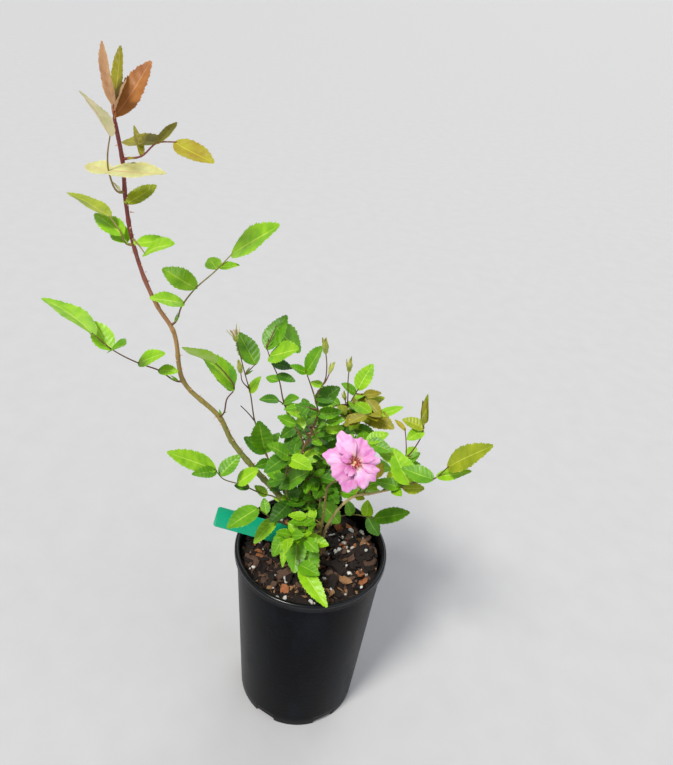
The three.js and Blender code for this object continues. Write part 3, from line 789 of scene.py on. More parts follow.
@dataclass(frozen=True)
class Rule:
    """Foliage by rule: leaves up a stem at the golden angle, each with pairs of leaflets and one at its end.

    A leaf whose end would leave the foliage's space, a ball ahead of the limb's tip, is skipped.

    Attributes:
        seed: The seed of its small changes.
        azimuth, elevation, length: Where its stem points, and how long it is.
        leaves: How many leaves it has.
        stalk: The lengths of a stalk's two steps.
        leaflet: The length of the lowest leaf's leaflets.
        end_leaflet: The length of an end leaflet over that of the others.
        pairs: The shares of a stalk where its pairs stand.
        spread: The angle in degrees between a leaflet and its stalk.
        lift, droop: The elevation of a stalk's first step, and how much lower its second one points.
        space_ahead, space_radius: How far along the stem its space lies, and how large that is.
    """

    seed: int
    azimuth: float
    elevation: float
    length: float
    leaves: int = 6
    stalk: Pair = (7, 9)
    leaflet: float = 15
    end_leaflet: float = 1.35
    pairs: tuple[float, ...] = (0.45, 0.8)
    spread: float = 62
    lift: float = 30
    droop: float = 16
    space_ahead: float = 20
    space_radius: float = 34

    def twigs(self) -> tuple[Twig, ...]:
        """Grows the stem and its leaves.

        Returns:
            The twigs, the stem first.
        """
        random = Seeded(self.seed)
        half = self.length / 2
        first = (self.azimuth + random.vary(12), self.elevation, half)
        stem = (first, (self.azimuth + random.vary(20), self.elevation + 10, half))
        path = Path(walk(np.zeros(3), stem))
        middle = path.at(self.space_ahead / self.length)[0]
        twigs = [Twig(stem, ())]
        for i in range(self.leaves):
            turn = self.azimuth - 60 + i * GOLDEN_ANGLE + random.vary(10)
            lift = self.lift + random.vary(10)
            size = self.leaflet * (1 - 0.05 * i) + random.vary(2)
            steps = ((turn, lift, self.stalk[0]), (turn, lift - self.droop, self.stalk[1]))
            leaflets = [(1, turn, lift - 2 * self.droop, self.end_leaflet * size)]
            for share in self.pairs:
                for hand in (-1, 1):
                    tilt = lift - self.droop + random.vary(10)
                    leaflets.append((share, turn + hand * self.spread, tilt, size * (0.5 + 0.5 * share)))
            at = (i + 1) / self.leaves
            end = walk(path.at(at)[0], (*steps, leaflets[0][1:4]))[-1]
            if np.linalg.norm(end - middle) < self.space_radius:
                twigs.append(Twig(steps, tuple(leaflets), at=at))
        return tuple(twigs)


@dataclass(frozen=True)
class Spray:
    """A mass of foliage on a limb, from a share (at) of its length on: its twigs are listed or come by rule."""

    limb: str
    at: float
    listed: tuple[Twig, ...] = ()
    rule: Rule | None = None

    def twigs(self) -> tuple[Twig, ...]:
        """Its twigs, listed or by rule."""
        return self.rule.twigs() if self.rule else self.listed


LIMBS = {
    "main_cane": Limb(OUTER_RING, 190, (2.3, 1), ((158, 50, 32.6), (172, 46, 23.2), (173, 51, 27.8),
        (176, 66, 15.1), (178, 46, 32.5), (-173, 80, 38.4), (-168, 61, 12.3), (-161, 73, 40.1), (-105, 82, 32),
        (-66, 79, 9.9), (-99, 81, 8.4), (-116, 80, 13.4))),
    "left_shoot": Limb(OUTER_RING, 157, (1.2, 0.85), ((145, 47, 23.7), (147, 48, 22.8), (149, 58, 11.2))),
    "tall_shoot": Limb(OUTER_RING, 125, (1.2, 0.85), ((108, 72, 25.1), (145, 78, 30.8), (159, 70, 16.6),
        (164, 53, 10.2))),
    "centre_shoot": Limb(INNER_RING, 165, (1.3, 0.85), ((-149, 85, 32.9), (-166, 78, 40.6), (7, 74, 16.1),
        (-27, 77, 12.6))),
    "bud_shoot": Limb(INNER_RING, 345, (1.3, 0.85), ((84, 68, 25.7), (87, 74, 32.5), (70, 77, 13.7),
        (46, 72, 11.7))),
    "back_left_shoot": Limb(OUTER_RING, 97, (1.2, 0.9), ((96, 52, 24), (122, 62, 16))),
    "back_right_shoot": Limb(OUTER_RING, 66, (1.2, 0.9), ((58, 58, 24), (66, 66, 16))),
    "low_right_shoot": Limb(OUTER_RING, 33, (1.1, 0.8), ((50, 22, 9),)),
    "right_branch": Limb(OUTER_RING, 352, (1.3, 0.9), ((-65, 72, 27.3), (-40, 67, 21.7), (-21, 54, 11.2),
        (-15, 30, 10.1), (-8, 31, 12.8))),
    "bloom_shoot": Limb(OUTER_RING, 300, (1.2, 0.9), ((-84, 70, 33.1), (-89, 82, 29.5))),
}

FOLIAGE = {
    "cane_leaf_low": Spray("main_cane", 0.355, (
        Twig(((-52, 66, 19.8), (-43, 60, 13.5), (-141, 63, 11.8), (-150, 53, 12.7)),
             ((1, -136, 43, 27, 65, 0.5), (0.56, -159, 56, 31, 20), (0.61, 159, 49, 21), (0.55, -129, 47, 17))),
    )),
    "cane_leaf_left": Spray("main_cane", 0.465, (
        Twig(((-169, 33, 14.3), (-164, 25, 11.6), (-160, 36, 18.2), (-157, 50, 14.7)),
             ((0.24, -12, 14, 13), (0.45, -10, 35, 20), (0.75, 140, 29, 22), (0.75, -47, 37, 22),
              (1, 152, 18, 41, 50, 0.52))),
    )),
    "cane_leaf_right": Spray("main_cane", 0.598, (
        Twig(((29, 65, 11.6), (34, 51, 10.6), (30, 40, 17.3), (29, 45, 14)),
             ((0.25, -142, 23, 21), (0.46, 166, 21, 23), (0.76, 121, 3, 17), (0.79, -2, 16, 12),
              (1, -30, 43, 40, 8, 0.5))),
    )),
    "cane_leaf_upper_left": Spray("main_cane", 0.779, (
        Twig(((-141, 63, 9.6), (152, 40, 8.8)),
             ((0.1, 135, 10, 18), (1, 152, 14, 31, 35, 0.5), (0.35, 145, 14, 25, 0, 0.5))),
    )),
    "cane_leaf_upper_right": Spray("main_cane", 0.79, (
        Twig(((-47, -9, 6.3), (-42, -26, 5.7)), ((0.3, 19, 7, 17), (1, -31, 32, 24))),
    )),
    "cane_leaf_small": Spray("main_cane", 0.861, (
        Twig(((-70, 32, 1.6),), ((1, 40, 29, 18, 10, 0.55),)),
    )),
    "cane_leaf_high": Spray("main_cane", 0.881, (
        Twig(((-125, 62, 12.8), (-68, 73, 8.6), (-44, 67, 12)),
             ((0.37, 150, 2, 18, 0), (0.4, -20, 13, 33, -7, 0.5), (1, -103, 53, 29, -30, 0.5))),
    )),
    "cane_leaf_top": Spray("main_cane", 0.941, (
        Twig(((-13, 16, 3), (32, 5, 4.3), (30, 36, 10.9), (18, 5, 9.2)),
             ((0.3, 114, 41, 18, 60, 0.35), (0.68, 70, 31, 17, -15, 0.5), (0.68, 149, -7, 28, 5, 0.5),
              (1, -27, -8, 24, 0, 0.55))),
    )),
    "cane_tip": Spray("main_cane", 1, (
        Twig(((58, 89, 4.2), (9, 89, 4.3)),
             ((0.3, 30, 56, 30, 15, 0.5), (0.78, -116, 76, 28, -25, 0.32), (1, 94, 64, 26, -25, 0.34),
              (0.6, -42, 58, 19, 0, 0.3))),
    )),
    "low_left_leaf": Spray("main_cane", 0.094, (
        Twig(((148, 19, 4.8), (-162, 27, 10.5), (-157, 37, 17.9), (-154, 33, 13.8), (-141, 61, 12.8)),
             ((1, -157, 36, 34, 0, 0.44), (0.95, -127, 25, 20, -30, 0.42), (0.86, 49, 33, 18), (0.6, 1, 51, 19),
              (0.45, 178, 5, 10), (0.2, 179, 41, 11))),
    )),
    "label_leaf": Spray("main_cane", 0.042, (
        Twig(((-148, 36, 19.3), (-136, 51, 19.8)),
             ((1, -134, -5, 23), (0.4, -130, -25, 21, 0, 0.5), (0.7, 109, 30, 11))),
    )),
    "left_foliage": Spray("left_shoot", 1, (
        Twig(((150, 63, 12.4), (156, 67, 13.4), (144, 75, 20.7), (154, 70, 11.8), (152, 71, 17.7),
             (153, 71, 5.3)),
             ((0.03, 169, 30, 18), (0.05, -129, 75, 27), (0.04, 39, 52, 16), (0.57, 30, 60, 13)), end=End.CUP),
        Twig(((-124, 55, 15.3), (-125, 52, 7.4)), (), at=0.32),
        Twig(((38, 42, 5.2), (31, 43, 4.5)), ((1, 140, 41, 24),), at=0.72),
        Twig(((-124, 54, 11.1), (-104, 71, 8.3)), (), at=0.6, end=End.BUD),
    )),
    "tall_foliage": Spray("tall_shoot", 1, (
        Twig(((149, 57, 11.8), (138, 66, 17.2), (151, 57, 11), (147, 61, 9.3)),
             ((0.55, 151, -9, 11), (0.62, -30, 8, 14, 0, 0.5), (0.8, -2, -8, 14), (0.88, -39, 38, 28),
              (1, 59, 48, 25), (0.26, -32, 39, 14), (0.2, -1, -20, 16))),
        Twig(((58, 50, 6.9), (62, 53, 7.4)), ((1, 3, -43, 24, 0, 0.8),), at=1),
        Twig(((-135, 45, 7.9),), ((1, -152, 16, 13),), at=0.22),
    )),
    "centre_foliage": Spray("centre_shoot", 1, (
        Twig(((-132, 77, 12.1), (-144, 71, 6.4), (-149, 69, 17.7)),
             ((1, -31, 69, 21), (1, -160, 31, 11), (0.29, 20, 40, 17, 0, 0.8), (0.11, -171, 21, 14),
              (0.06, 4, 15, 15))),
        Twig(((-67, 60, 11.8), (-47, 64, 6), (-82, 71, 15.5), (-109, 70, 10.4)),
             ((0.34, 142, -4, 9), (0.05, -20, 5, 11)), at=0.4, end=End.BUD),
        Twig(((-3, 67, 5.1), (55, 64, 3)), (), on=1, at=0.39, end=End.SMALL_BUD),
    )),
    "bud_foliage": Spray("bud_shoot", 1, (
        Twig(((38, 57, 8.1), (44, 61, 9.5), (37, 59, 6)), ((1, 49, 56, 19), (0.87, -161, 39, 13))),
        Twig(((-98, 66, 18), (-111, 76, 12.3), (-95, 75, 6.8)), (), at=0.38, end=End.BUD),
        Twig(((-172, 75, 7.5),), (), at=0.36, end=End.SMALL_BUD),
        Twig(((-39, 23, 9.1), (-40, 21, 8.4), (-30, 26, 10.3)),
             ((0.1, 22, 22, 25, 0, 0.45), (0.54, -39, 9, 24, 0, 0.58), (1, 18, 20, 16, 0, 0.45),
              (0.2, -60, -37, 12)), at=0.3),
    )),
    "right_foliage": Spray("right_branch", 1, (
        Twig(((-35, 46, 10), (-47, 48, 7), (-33, 40, 15.7), (-52, 61, 18.8)),
             ((1, -54, 55, 38, 24, 0.36), (0.74, -24, 37, 21, 0, 0.4), (0.66, 163, 4, 19),
              (0.32, 140, 44, 21, 0, 0.75), (0.13, 170, 2, 15))),
        Twig(((54, 68, 10.2), (59, 64, 7.4), (105, 68, 13), (121, 64, 6.9)),
             ((1, 156, 34, 9, 0, 0.35), (0.46, 165, 12, 18), (0.46, 23, 34, 11)), at=0.04),
        Twig(((-42, 68, 13.1), (-65, 74, 15.8), (-117, 74, 4.1)),
             ((0.93, 166, 14, 13), (0.86, -135, 2, 13)), on=1, at=0.5, end=End.YOUNG_SHOOT),
    )),
    "bloom_spray": Spray("bloom_shoot", 1, (
        Twig(((-47, 61, 15), (-33, 61, 12.4), (-44, 65, 9.7)), (), end=End.BLOOM),
        Twig(((42, 44, 15.4), (46, 45, 10.7)), ((1, 20, 24, 14), (0.9, 97, 0, 15), (1, -24, 4, 16)), at=0.5),
    )),
    "front_foliage": Spray("bloom_shoot", 0.305, (
        Twig(((-156, -19, 13.1), (-86, -21, 10.7), (-70, -31, 7.5)),
             ((1, -51, -8, 31, 0, 0.38), (0.36, -104, -52, 21), (0.4, -53, -33, 25, 0, 0.65), (0.92, -38, 15, 17),
              (0.3, -20, 8, 17))),
        Twig(((-175, 4, 8), (-170, -6, 7.8)),
             ((1, -84, -45, 20, 0, 0.3), (0.95, -130, -50, 16), (0.5, -84, -30, 24)), at=0.22),
    )),
    "core_left_foliage": Spray("left_shoot", 0.391, (
        Twig(((-89, 45, 16.9), (-140, 74, 15.1), (-111, 88, 14.4), (-70, 75, 16.5)),
             ((1, -151, 43, 19), (1, -135, -8, 19), (1, -21, -45, 11), (0.95, -38, 10, 19), (0.63, 161, -33, 17),
              (0.56, -28, 52, 24), (0.3, -6, 57, 13), (0.25, -124, -12, 19, 0, 0.68))),
    )),
    "core_right_foliage": Spray("bud_shoot", 0.332, (
        Twig(((-96, 15, 13.1), (127, 80, 15.3), (124, 69, 13.5), (146, 70, 10.6)),
             ((1, 30, 47, 27), (0.93, 40, 28, 13), (0.53, 0, -22, 17), (0.63, -147, -11, 9), (0.63, -54, 2, 22),
              (0.33, 2, -48, 23, 25), (0.28, -123, -20, 15), (0.73, -16, 21, 12))),
    )),
    "back_left_foliage": Spray("back_left_shoot", 1, rule=Rule(12, 112, 60, 36)),
    "back_right_foliage": Spray("back_right_shoot", 1, rule=Rule(23, 62, 64, 36)),
    "back_low_foliage": Spray("back_left_shoot", 0.4, rule=Rule(31, 95, 30, 26)),
    "low_right_leaf": Spray("low_right_shoot", 1, (
        Twig(((-16, 45, 17.9), (-19, 16, 10), (-29, 18, 6.9)),
             ((1, -28, 42, 29, 0, 0.42), (0.8, -129, 84, 15), (0.84, -17, -53, 17), (0.51, -178, 69, 13))),
    )),
}


@dataclass(frozen=True)
class Shoot:
    """A twig as grown: its path starts inside what carries it, and its radii are at its foot and its tip."""

    spray: str
    twig: Twig
    path: Path
    radii: Pair


@dataclass(frozen=True)
class Infill:
    """Small leaves that carry some sprays finer: set by the golden angle on their limbs and stalks, in a ball.

    middle and radius give the ball, size the length of a leaf's end leaflet, and low the lowest share of a limb
    that carries one.
    """

    sprays: tuple[str, ...]
    middle: tuple[float, float, float]
    radius: float
    leaves: int
    size: float
    seed: int
    low: float = 0.3


INFILLS = (
    Infill(("core_left_foliage", "left_foliage"), (-9, 19, 190), 29, 14, 13, 61),
    Infill(("core_right_foliage", "centre_foliage"), (4, 4, 196), 33, 20, 13, 62),
    Infill(("core_right_foliage", "bud_foliage"), (20, 8, 226), 27, 14, 12, 63),
    Infill(("centre_foliage", "core_left_foliage"), (-8, 6, 236), 22, 6, 12, 64),
    Infill(("front_foliage",), (-4, -16, 166), 22, 6, 12, 65, 0.1),
    Infill(("back_left_foliage", "back_right_foliage", "back_low_foliage"), (-2, 31, 194), 38, 38, 13, 66),
    Infill(("right_foliage", "bloom_spray"), (46, -2, 208), 24, 7, 13, 67),
)


@dataclass
class Growth:
    """The whole plant's paths, grown from the tables.

    Attributes:
        crown, crown_height: The middle of the crown's foot, and its height.
        twig_start, twig_end: A twig's radius at its foot and at its tip.
        last_share: The furthest along its stalk that a leaflet is set.
        fine_radii: The radii of a small leaf's stalk.
        lowest: The least height of a small leaf's end.
        tries: How many places are tried for an infill's leaves.
    """

    crown: tuple[float, float, float] = (1, 6, 130.3)
    crown_height: float = 11
    twig_start: float = 0.8
    twig_end: float = 0.45
    last_share: float = 0.97
    fine_radii: Pair = (0.55, 0.4)
    lowest: float = 138
    tries: int = 400

    def limb(self, name: str) -> Path:
        """Grows a limb on the crown's top, just clear of it.

        Args:
            name: The limb.

        Returns:
            Its path.
        """
        limb = LIMBS[name]
        turn = math.radians(limb.turn)
        rise = CLEARANCE + limb.radii[0] * math.cos(math.radians(limb.steps[0][1]))
        foot = (limb.ring * math.cos(turn), limb.ring * math.sin(turn), self.crown_height + rise)
        return Path(walk(np.array(self.crown) + foot, limb.steps))

    def shoots(self, name: str) -> list[Shoot]:
        """A spray's twigs, each from where it starts.

        Args:
            name: The spray.

        Returns:
            The twigs in their order, each path's first corner being the middle of what carries it.
        """
        spray = FOLIAGE[name]
        limb = LIMBS[spray.limb]
        point, along = self.limb(spray.limb).at(spray.at)
        limb_radius = between(*limb.radii, spray.at)
        twigs = spray.twigs()
        first = heading(*twigs[0].steps[0][:2])
        lean = float(first @ along)
        if spray.at == 1:
            radius = limb.radii[1]
            start = point + along * (CLEARANCE + radius * math.sqrt(1 - lean**2))
        else:
            radius = self.twig_start
            start = point + unit(first - along * lean) * (limb_radius + CLEARANCE + radius * abs(lean))
        grown: list[Shoot] = []
        bare: list[Path] = []
        for twig in twigs:
            root = bare[twig.on].at(twig.at)[0] if bare else start
            bare.append(Path(walk(root, twig.steps)))
            corners = bare[-1].corners if len(bare) > 1 else np.vstack([point, bare[-1].corners])
            foot = radius if len(bare) == 1 else (self.twig_start + self.twig_end) / 2
            grown.append(Shoot(name, twig, Path(corners), (foot, self.twig_end)))
        return grown

    def finer(self, infill: Infill) -> list[Shoot]:
        """The small leaves of an infill: each a stalk with a pair of leaflets and one at its end.

        Args:
            infill: Where they go.

        Returns:
            Their stalks, for those whose ends all lie inside the ball.
        """
        random = Seeded(infill.seed)
        carriers = []
        for name in infill.sprays:
            carriers.append((name, self.limb(FOLIAGE[name].limb), infill.low))
            carriers += [(name, shoot.path, 0.15) for shoot in self.shoots(name)]
        grown: list[Shoot] = []
        for i in range(self.tries):
            if len(grown) == infill.leaves:
                break
            name, carrier, low = carriers[i % len(carriers)]
            point, _ = carrier.at(between(low, 0.95, random()))
            azimuth = i * GOLDEN_ANGLE + random.vary(20)
            elevation = 30 + random.vary(22)
            size = infill.size * (0.8 + 0.5 * random())
            steps = ((azimuth, elevation, 0.5 * size), (azimuth + random.vary(14), elevation - 16, 0.45 * size))
            leaflets = [(1, azimuth + random.vary(12), elevation - 26, size, random.vary(25))]
            for hand in (-1, 1):
                tilt = elevation - 12 + random.vary(12)
                leaflets.append((0.55, azimuth + hand * 64, tilt, 0.8 * size, random.vary(25)))
            corners = walk(point, steps)
            ends = walk(corners[-1], [leaflets[0][1:4]])
            inside = np.linalg.norm(ends - infill.middle, axis=1).max() < infill.radius
            if inside and ends[-1, 2] > self.lowest:
                grown.append(Shoot(name, Twig(steps, tuple(leaflets)), Path(corners), self.fine_radii))
        return grown

    def on_stalk(self, shoot: Shoot, share: float) -> tuple[Array, Array]:
        """A place on a stalk, and the direction of travel there, by the share of the stalk's own length."""
        return Path(shoot.path.corners[-len(shoot.twig.steps) - 1:]).at(min(share, self.last_share))


GROWTH = Growth()


# Leaves


@dataclass(frozen=True)
class BladeShape:
    """How a flat blade is cut and curved.

    Attributes:
        rows, lanes: Rows of points along it, and the shares of its half width where its upper side's points lie.
        teeth, bite: Teeth on each margin, and their depth as a share of the half width.
        breadth: Its width over the width that is asked for.
        skew, fullness: Below 1, its widest part lies nearer its foot, and its sides are rounder.
        point: How much its tip is drawn out.
        fold, curl: The rise of each half from the midrib over its width, and the fall of its tip over its length.
        quilt, veins: The swell of its tissue between side veins in millimetres, and such veins on each half.
        wave: The waves of its margin, over its length.
        thickness: Its thickness at the midrib.
        loose: How much it may bend and twist, from 0 to 1.
    """

    rows: int = 41
    lanes: tuple[float, ...] = (1, 0.8, 0.52, 0.26, 0.05, -0.05, -0.26, -0.52, -0.8, -1)
    teeth: int = 16
    bite: float = 0.085
    breadth: float = 0.9
    skew: float = 0.8
    fullness: float = 0.68
    point: float = 0.25
    fold: float = 0.2
    curl: float = 0.08
    quilt: float = 0.47
    veins: int = 7
    wave: float = 0.012
    thickness: float = 0.3
    loose: float = 1.0

    def rings(self, base: Array, along: Array, length: Array, turn: Array, width: Array, seed: int) -> Array:
        """The blades' points.

        A point lies at base + along * reach + side * across + face * lift. The half width is a skewed sine
        arch with saw teeth. The lift is a fold like a blunt V, minus a curl that grows with the square of
        the reach, plus swells between veins that slant forward, plus waves that grow towards the margin.

        Args:
            base: Where each blade starts, (blades, 3).
            along: Its direction, (blades, 3).
            length: Its length.
            turn: The turn of its face about its midrib in degrees, from where the light draws it.
            width: Its width over its length.
            seed: The seed of its bends.

        Returns:
            Closed rings, (blades, rows, points, 3): the upper side's points, then the lower side's.
        """
        rng = np.random.default_rng(seed)
        count = len(length)
        bend, twist, sway, phase = rng.uniform(-1, 1, (4, count, 1, 1)) * self.loose
        drawn = square(LIGHT, along)
        face = swing(drawn, np.cross(along, drawn), np.radians(turn))
        side = np.cross(face, along)

        s = np.linspace(0, 1, self.rows)[:, None]
        v = np.array(self.lanes + self.lanes[-2:0:-1])
        under = np.arange(len(v)) >= len(self.lanes)
        margin = np.abs(v) > 0.99
        tooth = s * self.teeth % 1
        cut = 1 + margin * self.bite * (2 * tooth - 1)
        arch = np.sin(np.pi * s**self.skew) ** self.fullness * (1 - self.point * s**6)
        long = length[:, None, None]
        across = v * (0.5 * self.breadth * width[:, None, None] * long * arch + 0.12) * cut
        reach = np.minimum(s + margin * 0.5 * tooth / max(self.teeth, 1), 1)

        out = np.abs(v)
        vein = 0.5 - 0.5 * np.cos(2 * np.pi * (reach * self.veins - out * 1.1))
        swell = self.quilt * (vein - 0.5) * np.minimum(out / 0.2, 1) * (1 - out**4) * np.minimum(4 * arch, 1)
        ripple = np.sin(2 * np.pi * (1.6 * s + phase + 0.3 * np.sign(v))) * out**3 * np.sin(np.pi * s)
        belly = 0.035 * sway * np.sin(np.pi * s)
        depth = under * self.thickness * (1 - out**2) * np.minimum(3 * arch + 0.2, 1)
        ridge = (out < 0.06) * np.where(under, 0.8 * self.thickness * (1 - 0.7 * s), 0.25 * self.thickness)
        lift = (
            self.fold * (np.sqrt(across**2 + 0.36) - 0.6)
            + long * (self.wave * ripple + belly - self.curl * reach**2)
            + swell - depth - ridge * np.minimum(3 * arch, 1)
        )
        turn_out = np.radians(14) * twist * s
        aside = across * np.cos(turn_out) + long * 0.05 * bend * np.sin(np.pi * s) * (1 - s)
        raised = lift + across * np.sin(turn_out)
        return (
            base[:, None, None] + along[:, None, None] * (reach * long)[..., None]
            + side[:, None, None] * aside[..., None] + face[:, None, None] * raised[..., None]
        )

    def slots(self, first: Array) -> Array:
        """The material slots of the blades' faces: the upper side's, the lower side's and the midrib's.

        Args:
            first: Each blade's first slot, of its three.

        Returns:
            The slots, (blades, 1, points).
        """
        top = len(self.lanes)
        kind = (np.arange(2 * top - 2) >= top - 1).astype(int)
        kind[[top // 2 - 1, top + top // 2 - 2]] = 2
        return (first[:, None] + kind)[:, None, :]


LEAFLET = BladeShape()
SMALL_LEAFLET = BladeShape(rows=16, lanes=(1, 0.55, 0.05, -0.05, -0.55, -1), teeth=7, veins=5)
STIPULE = BladeShape(rows=8, teeth=0, bite=0, fold=0.5, curl=0.1, quilt=0, veins=0, wave=0, thickness=0.25)
SEPAL = BladeShape(rows=12, teeth=0, bite=0, skew=0.6, fold=0.35, curl=0, quilt=0, veins=0, wave=0.01,
                   thickness=0.35, loose=0.5)


@dataclass(frozen=True)
class LeafTint:
    """The colours of a leaf: its upper side, the shade of its deeper patches, its lower side and its midrib. In
    some tints they are partly painted light and shade as well as the leaf's own colour.
    """

    upper: Colour
    shade: Colour
    lower: Colour
    rib: Colour

    def finishes(self, tint: Tint) -> list[LeafFinish]:
        """Makes the finishes of a tint.

        Args:
            tint: The tint, which gives them their names.

        Returns:
            The upper side's, the lower side's and the midrib's, in the order of a blade's slots.
        """
        name = f"leaf_{tint.name.lower()}"
        return [
            LeafFinish(name, self.upper, self.shade, 0.42, 0.17),
            LeafFinish(name + "_underside", self.lower, self.upper, 0.6, 0.02),
            LeafFinish(name + "_rib", self.rib, self.upper, 0.5, 0.08),
        ]


# FRESH, BRIGHT, MID and DEEP are one green from light to dark: partly the range of the leaves' own tones and
# partly lit and shaded copies, painted light and shade that the palettes below deal out by where a spray sits in
# the bush.
LEAF_TINTS = {
    Tint.FRESH: LeafTint((156, 206, 26), (112, 172, 14), (190, 218, 122), (196, 222, 100)),
    Tint.BRIGHT: LeafTint((112, 170, 16), (76, 136, 10), (166, 202, 104), (168, 204, 80)),
    Tint.MID: LeafTint((80, 136, 14), (52, 104, 8), (140, 178, 88), (136, 178, 62)),
    Tint.DEEP: LeafTint((54, 102, 12), (34, 74, 8), (112, 150, 70), (102, 146, 48)),
    Tint.GOLD: LeafTint((172, 170, 30), (154, 126, 28), (150, 142, 42), (204, 190, 80)),
    Tint.COPPER: LeafTint((180, 122, 66), (150, 90, 46), (190, 130, 82), (206, 146, 104)),
    # BLUSH: its pale cream lower side is partly the young leaf's own colour and partly painted light, lifted so
    # that undersides which face away from the lamps still look lit.
    Tint.BLUSH: LeafTint((214, 216, 150), (190, 182, 108), (255, 238, 194), (206, 140, 116)),
    Tint.OLIVE: LeafTint((166, 180, 28), (128, 148, 18), (196, 200, 100), (200, 204, 88)),
    Tint.ROSE: LeafTint((214, 172, 122), (182, 126, 90), (230, 194, 158), (206, 136, 112)),
    # BRONZE: its lower side is lifted well above its upper side as painted light, a painted glow on undersides
    # that are seen in shade.
    Tint.BRONZE: LeafTint((150, 148, 24), (124, 112, 18), (200, 190, 44), (188, 178, 76)),
}
LEAF_FINISHES = [finish for tint in Tint for finish in LEAF_TINTS[tint].finishes(tint)]
LEAF_SLOTS = [finish.name for finish in LEAF_FINISHES]

F, B, M, D, G, C, P, Y, R, Z = Tint
# Each spray's leaflets take their tints in turn. The palettes are partly the leaves' own tones and partly painted
# light and shade: DEEP and MID go mostly to the inner, back and low sprays as painted shade, and the lighter OLIVE
# on cane_leaf_small is painted light on a leaf that faces away from the lamps.
TINTS = {
    "cane_tip": (C, R, Z, R),
    "cane_leaf_top": (G, Z, Z, G),
    "cane_leaf_high": (P, P, P),
    "cane_leaf_upper_left": (F, Y, F),
    "cane_leaf_upper_right": (F, F),
    "cane_leaf_small": (Y,),
    "cane_leaf_left": (F, F, F, B, F),
    "cane_leaf_right": (F, F, F, F, F),
    "cane_leaf_low": (F, F, B, F),
    "right_foliage": (Y, F, B, F, B, G, F, B, Y, F),
    "low_left_leaf": (F, B, B, F, M),
    "label_leaf": (B, F, B),
    "bud_foliage": (F, B, Y, Z, F, Z),
    "left_foliage": (M, B, B, F, B),
    "tall_foliage": (B, M, D, F, B, B, F, B, M),
    "centre_foliage": (B, B, M, M, B, F, M),
    "front_foliage": (F, B, B, B, F, F, B, B),
    "bloom_spray": (F, B, B),
    "back_left_foliage": (M, B, D, F, M),
    "back_right_foliage": (B, M, D, M, F),
    "back_low_foliage": (D, M, B, M),
    "core_left_foliage": (B, M, D, F, M),
    "core_right_foliage": (M, B, D, M),
}
COMMON_TINTS = (B, F, M, B, F)


@dataclass
class Leafage:
    """The leaves of some sprays, joined in one piece, with their stalks joined in another.

    Attributes:
        sprays: The sprays that it holds, each a node of the frame.
        seed: The seed of the leaves' bends.
        infills: The infills that it holds instead, where there are some.
        root: How far a leaflet's foot is sunk into its stalk.
        width: A leaflet's width over its length, where the tables give none.
        stalk_sides, stalk_share: Sides of a stalk, and its thickness over that in the frame.
        stipule: The length of a stipule, its turn in degrees and its width over its length.
    """

    name: str
    sprays: tuple[str, ...]
    seed: int
    infills: tuple[Infill, ...] = ()
    root: float = 0.6
    width: float = 0.62
    stalk_sides: int = 7
    stalk_share: float = 0.68
    stipule: tuple[float, float, float] = (5.5, 25, 0.22)

    def build(self) -> None:
        """Builds the leaves and their stalks."""
        if self.infills:
            shoots = [shoot for infill in self.infills for shoot in GROWTH.finer(infill)]
        else:
            shoots = [shoot for name in self.sprays for shoot in GROWTH.shoots(name)]
        self.leaves(shoots)
        self.stalks(shoots)

    def leaves(self, shoots: list[Shoot]) -> None:
        """Builds the leaflets, and the pairs of stipules at the stalks' feet.

        Args:
            shoots: The stalks.
        """
        leaflets = []
        stipules = []
        borne = dict.fromkeys(self.sprays, 0)
        for shoot in shoots:
            palette = TINTS.get(shoot.spray, COMMON_TINTS)
            for share, azimuth, elevation, length, *shape in shoot.twig.leaflets:
                turn = shape[0] if shape else 0
                width = shape[1] if len(shape) > 1 else self.width
                along = heading(azimuth, elevation)
                base = GROWTH.on_stalk(shoot, share)[0] - along * self.root
                tint = palette[borne[shoot.spray] % len(palette)].value
                borne[shoot.spray] += 1
                leaflets.append((*base, *along, length, turn, width, 3 * tint))
            if shoot.twig.leaflets and not self.infills:
                point, along = GROWTH.on_stalk(shoot, 0.02)
                side = unit(np.cross(along, (0.2, 0.1, 1)))
                size, turn, width = self.stipule
                for hand in (-1, 1):
                    way = unit(along + hand * 0.4 * side)
                    stipules.append((*point, *way, size, hand * turn, width, 3 * palette[0].value))
        gather = Gather()
        for shape, rows in ((SMALL_LEAFLET if self.infills else LEAFLET, leaflets), (STIPULE, stipules)):
            if not rows:
                continue
            table = np.array(rows, dtype=float)
            rings = shape.rings(table[:, :3], table[:, 3:6], *table.T[6:9], self.seed)
            gather.rings(rings, shape.slots(table[:, 9].astype(int)))
        settle(gather.piece(f"{self.name}_leaves", LEAF_SLOTS, 60), "foliage", *self.sprays)

    def stalks(self, shoots: list[Shoot]) -> None:
        """Builds the stalks: tapering tubes along smooth paths, a little swollen at their feet.

        Args:
            shoots: The stalks.
        """
        gather = Gather()
        for shoot in shoots:
            line = shoot.path.smooth(1.6)
            share = np.linspace(0, 1, len(line))
            radius = self.stalk_share * between(*shoot.radii, share)
            radius = radius * (1 + 0.5 * np.exp(-((share * shoot.path.reach[-1] - 1.5) / 1.6) ** 2))
            gather.rings(tube(line, radius, self.stalk_sides), int(shoot.spray in ("cane_tip", "cane_leaf_top")))
        settle(gather.piece(f"{self.name}_stalks", ["young_stem", "red_stem"], 60), "stem_bark", *self.sprays)


# Wood


LIMB_BARKS = {"main_cane": "cane_bark", "right_branch": "branch_bark"}


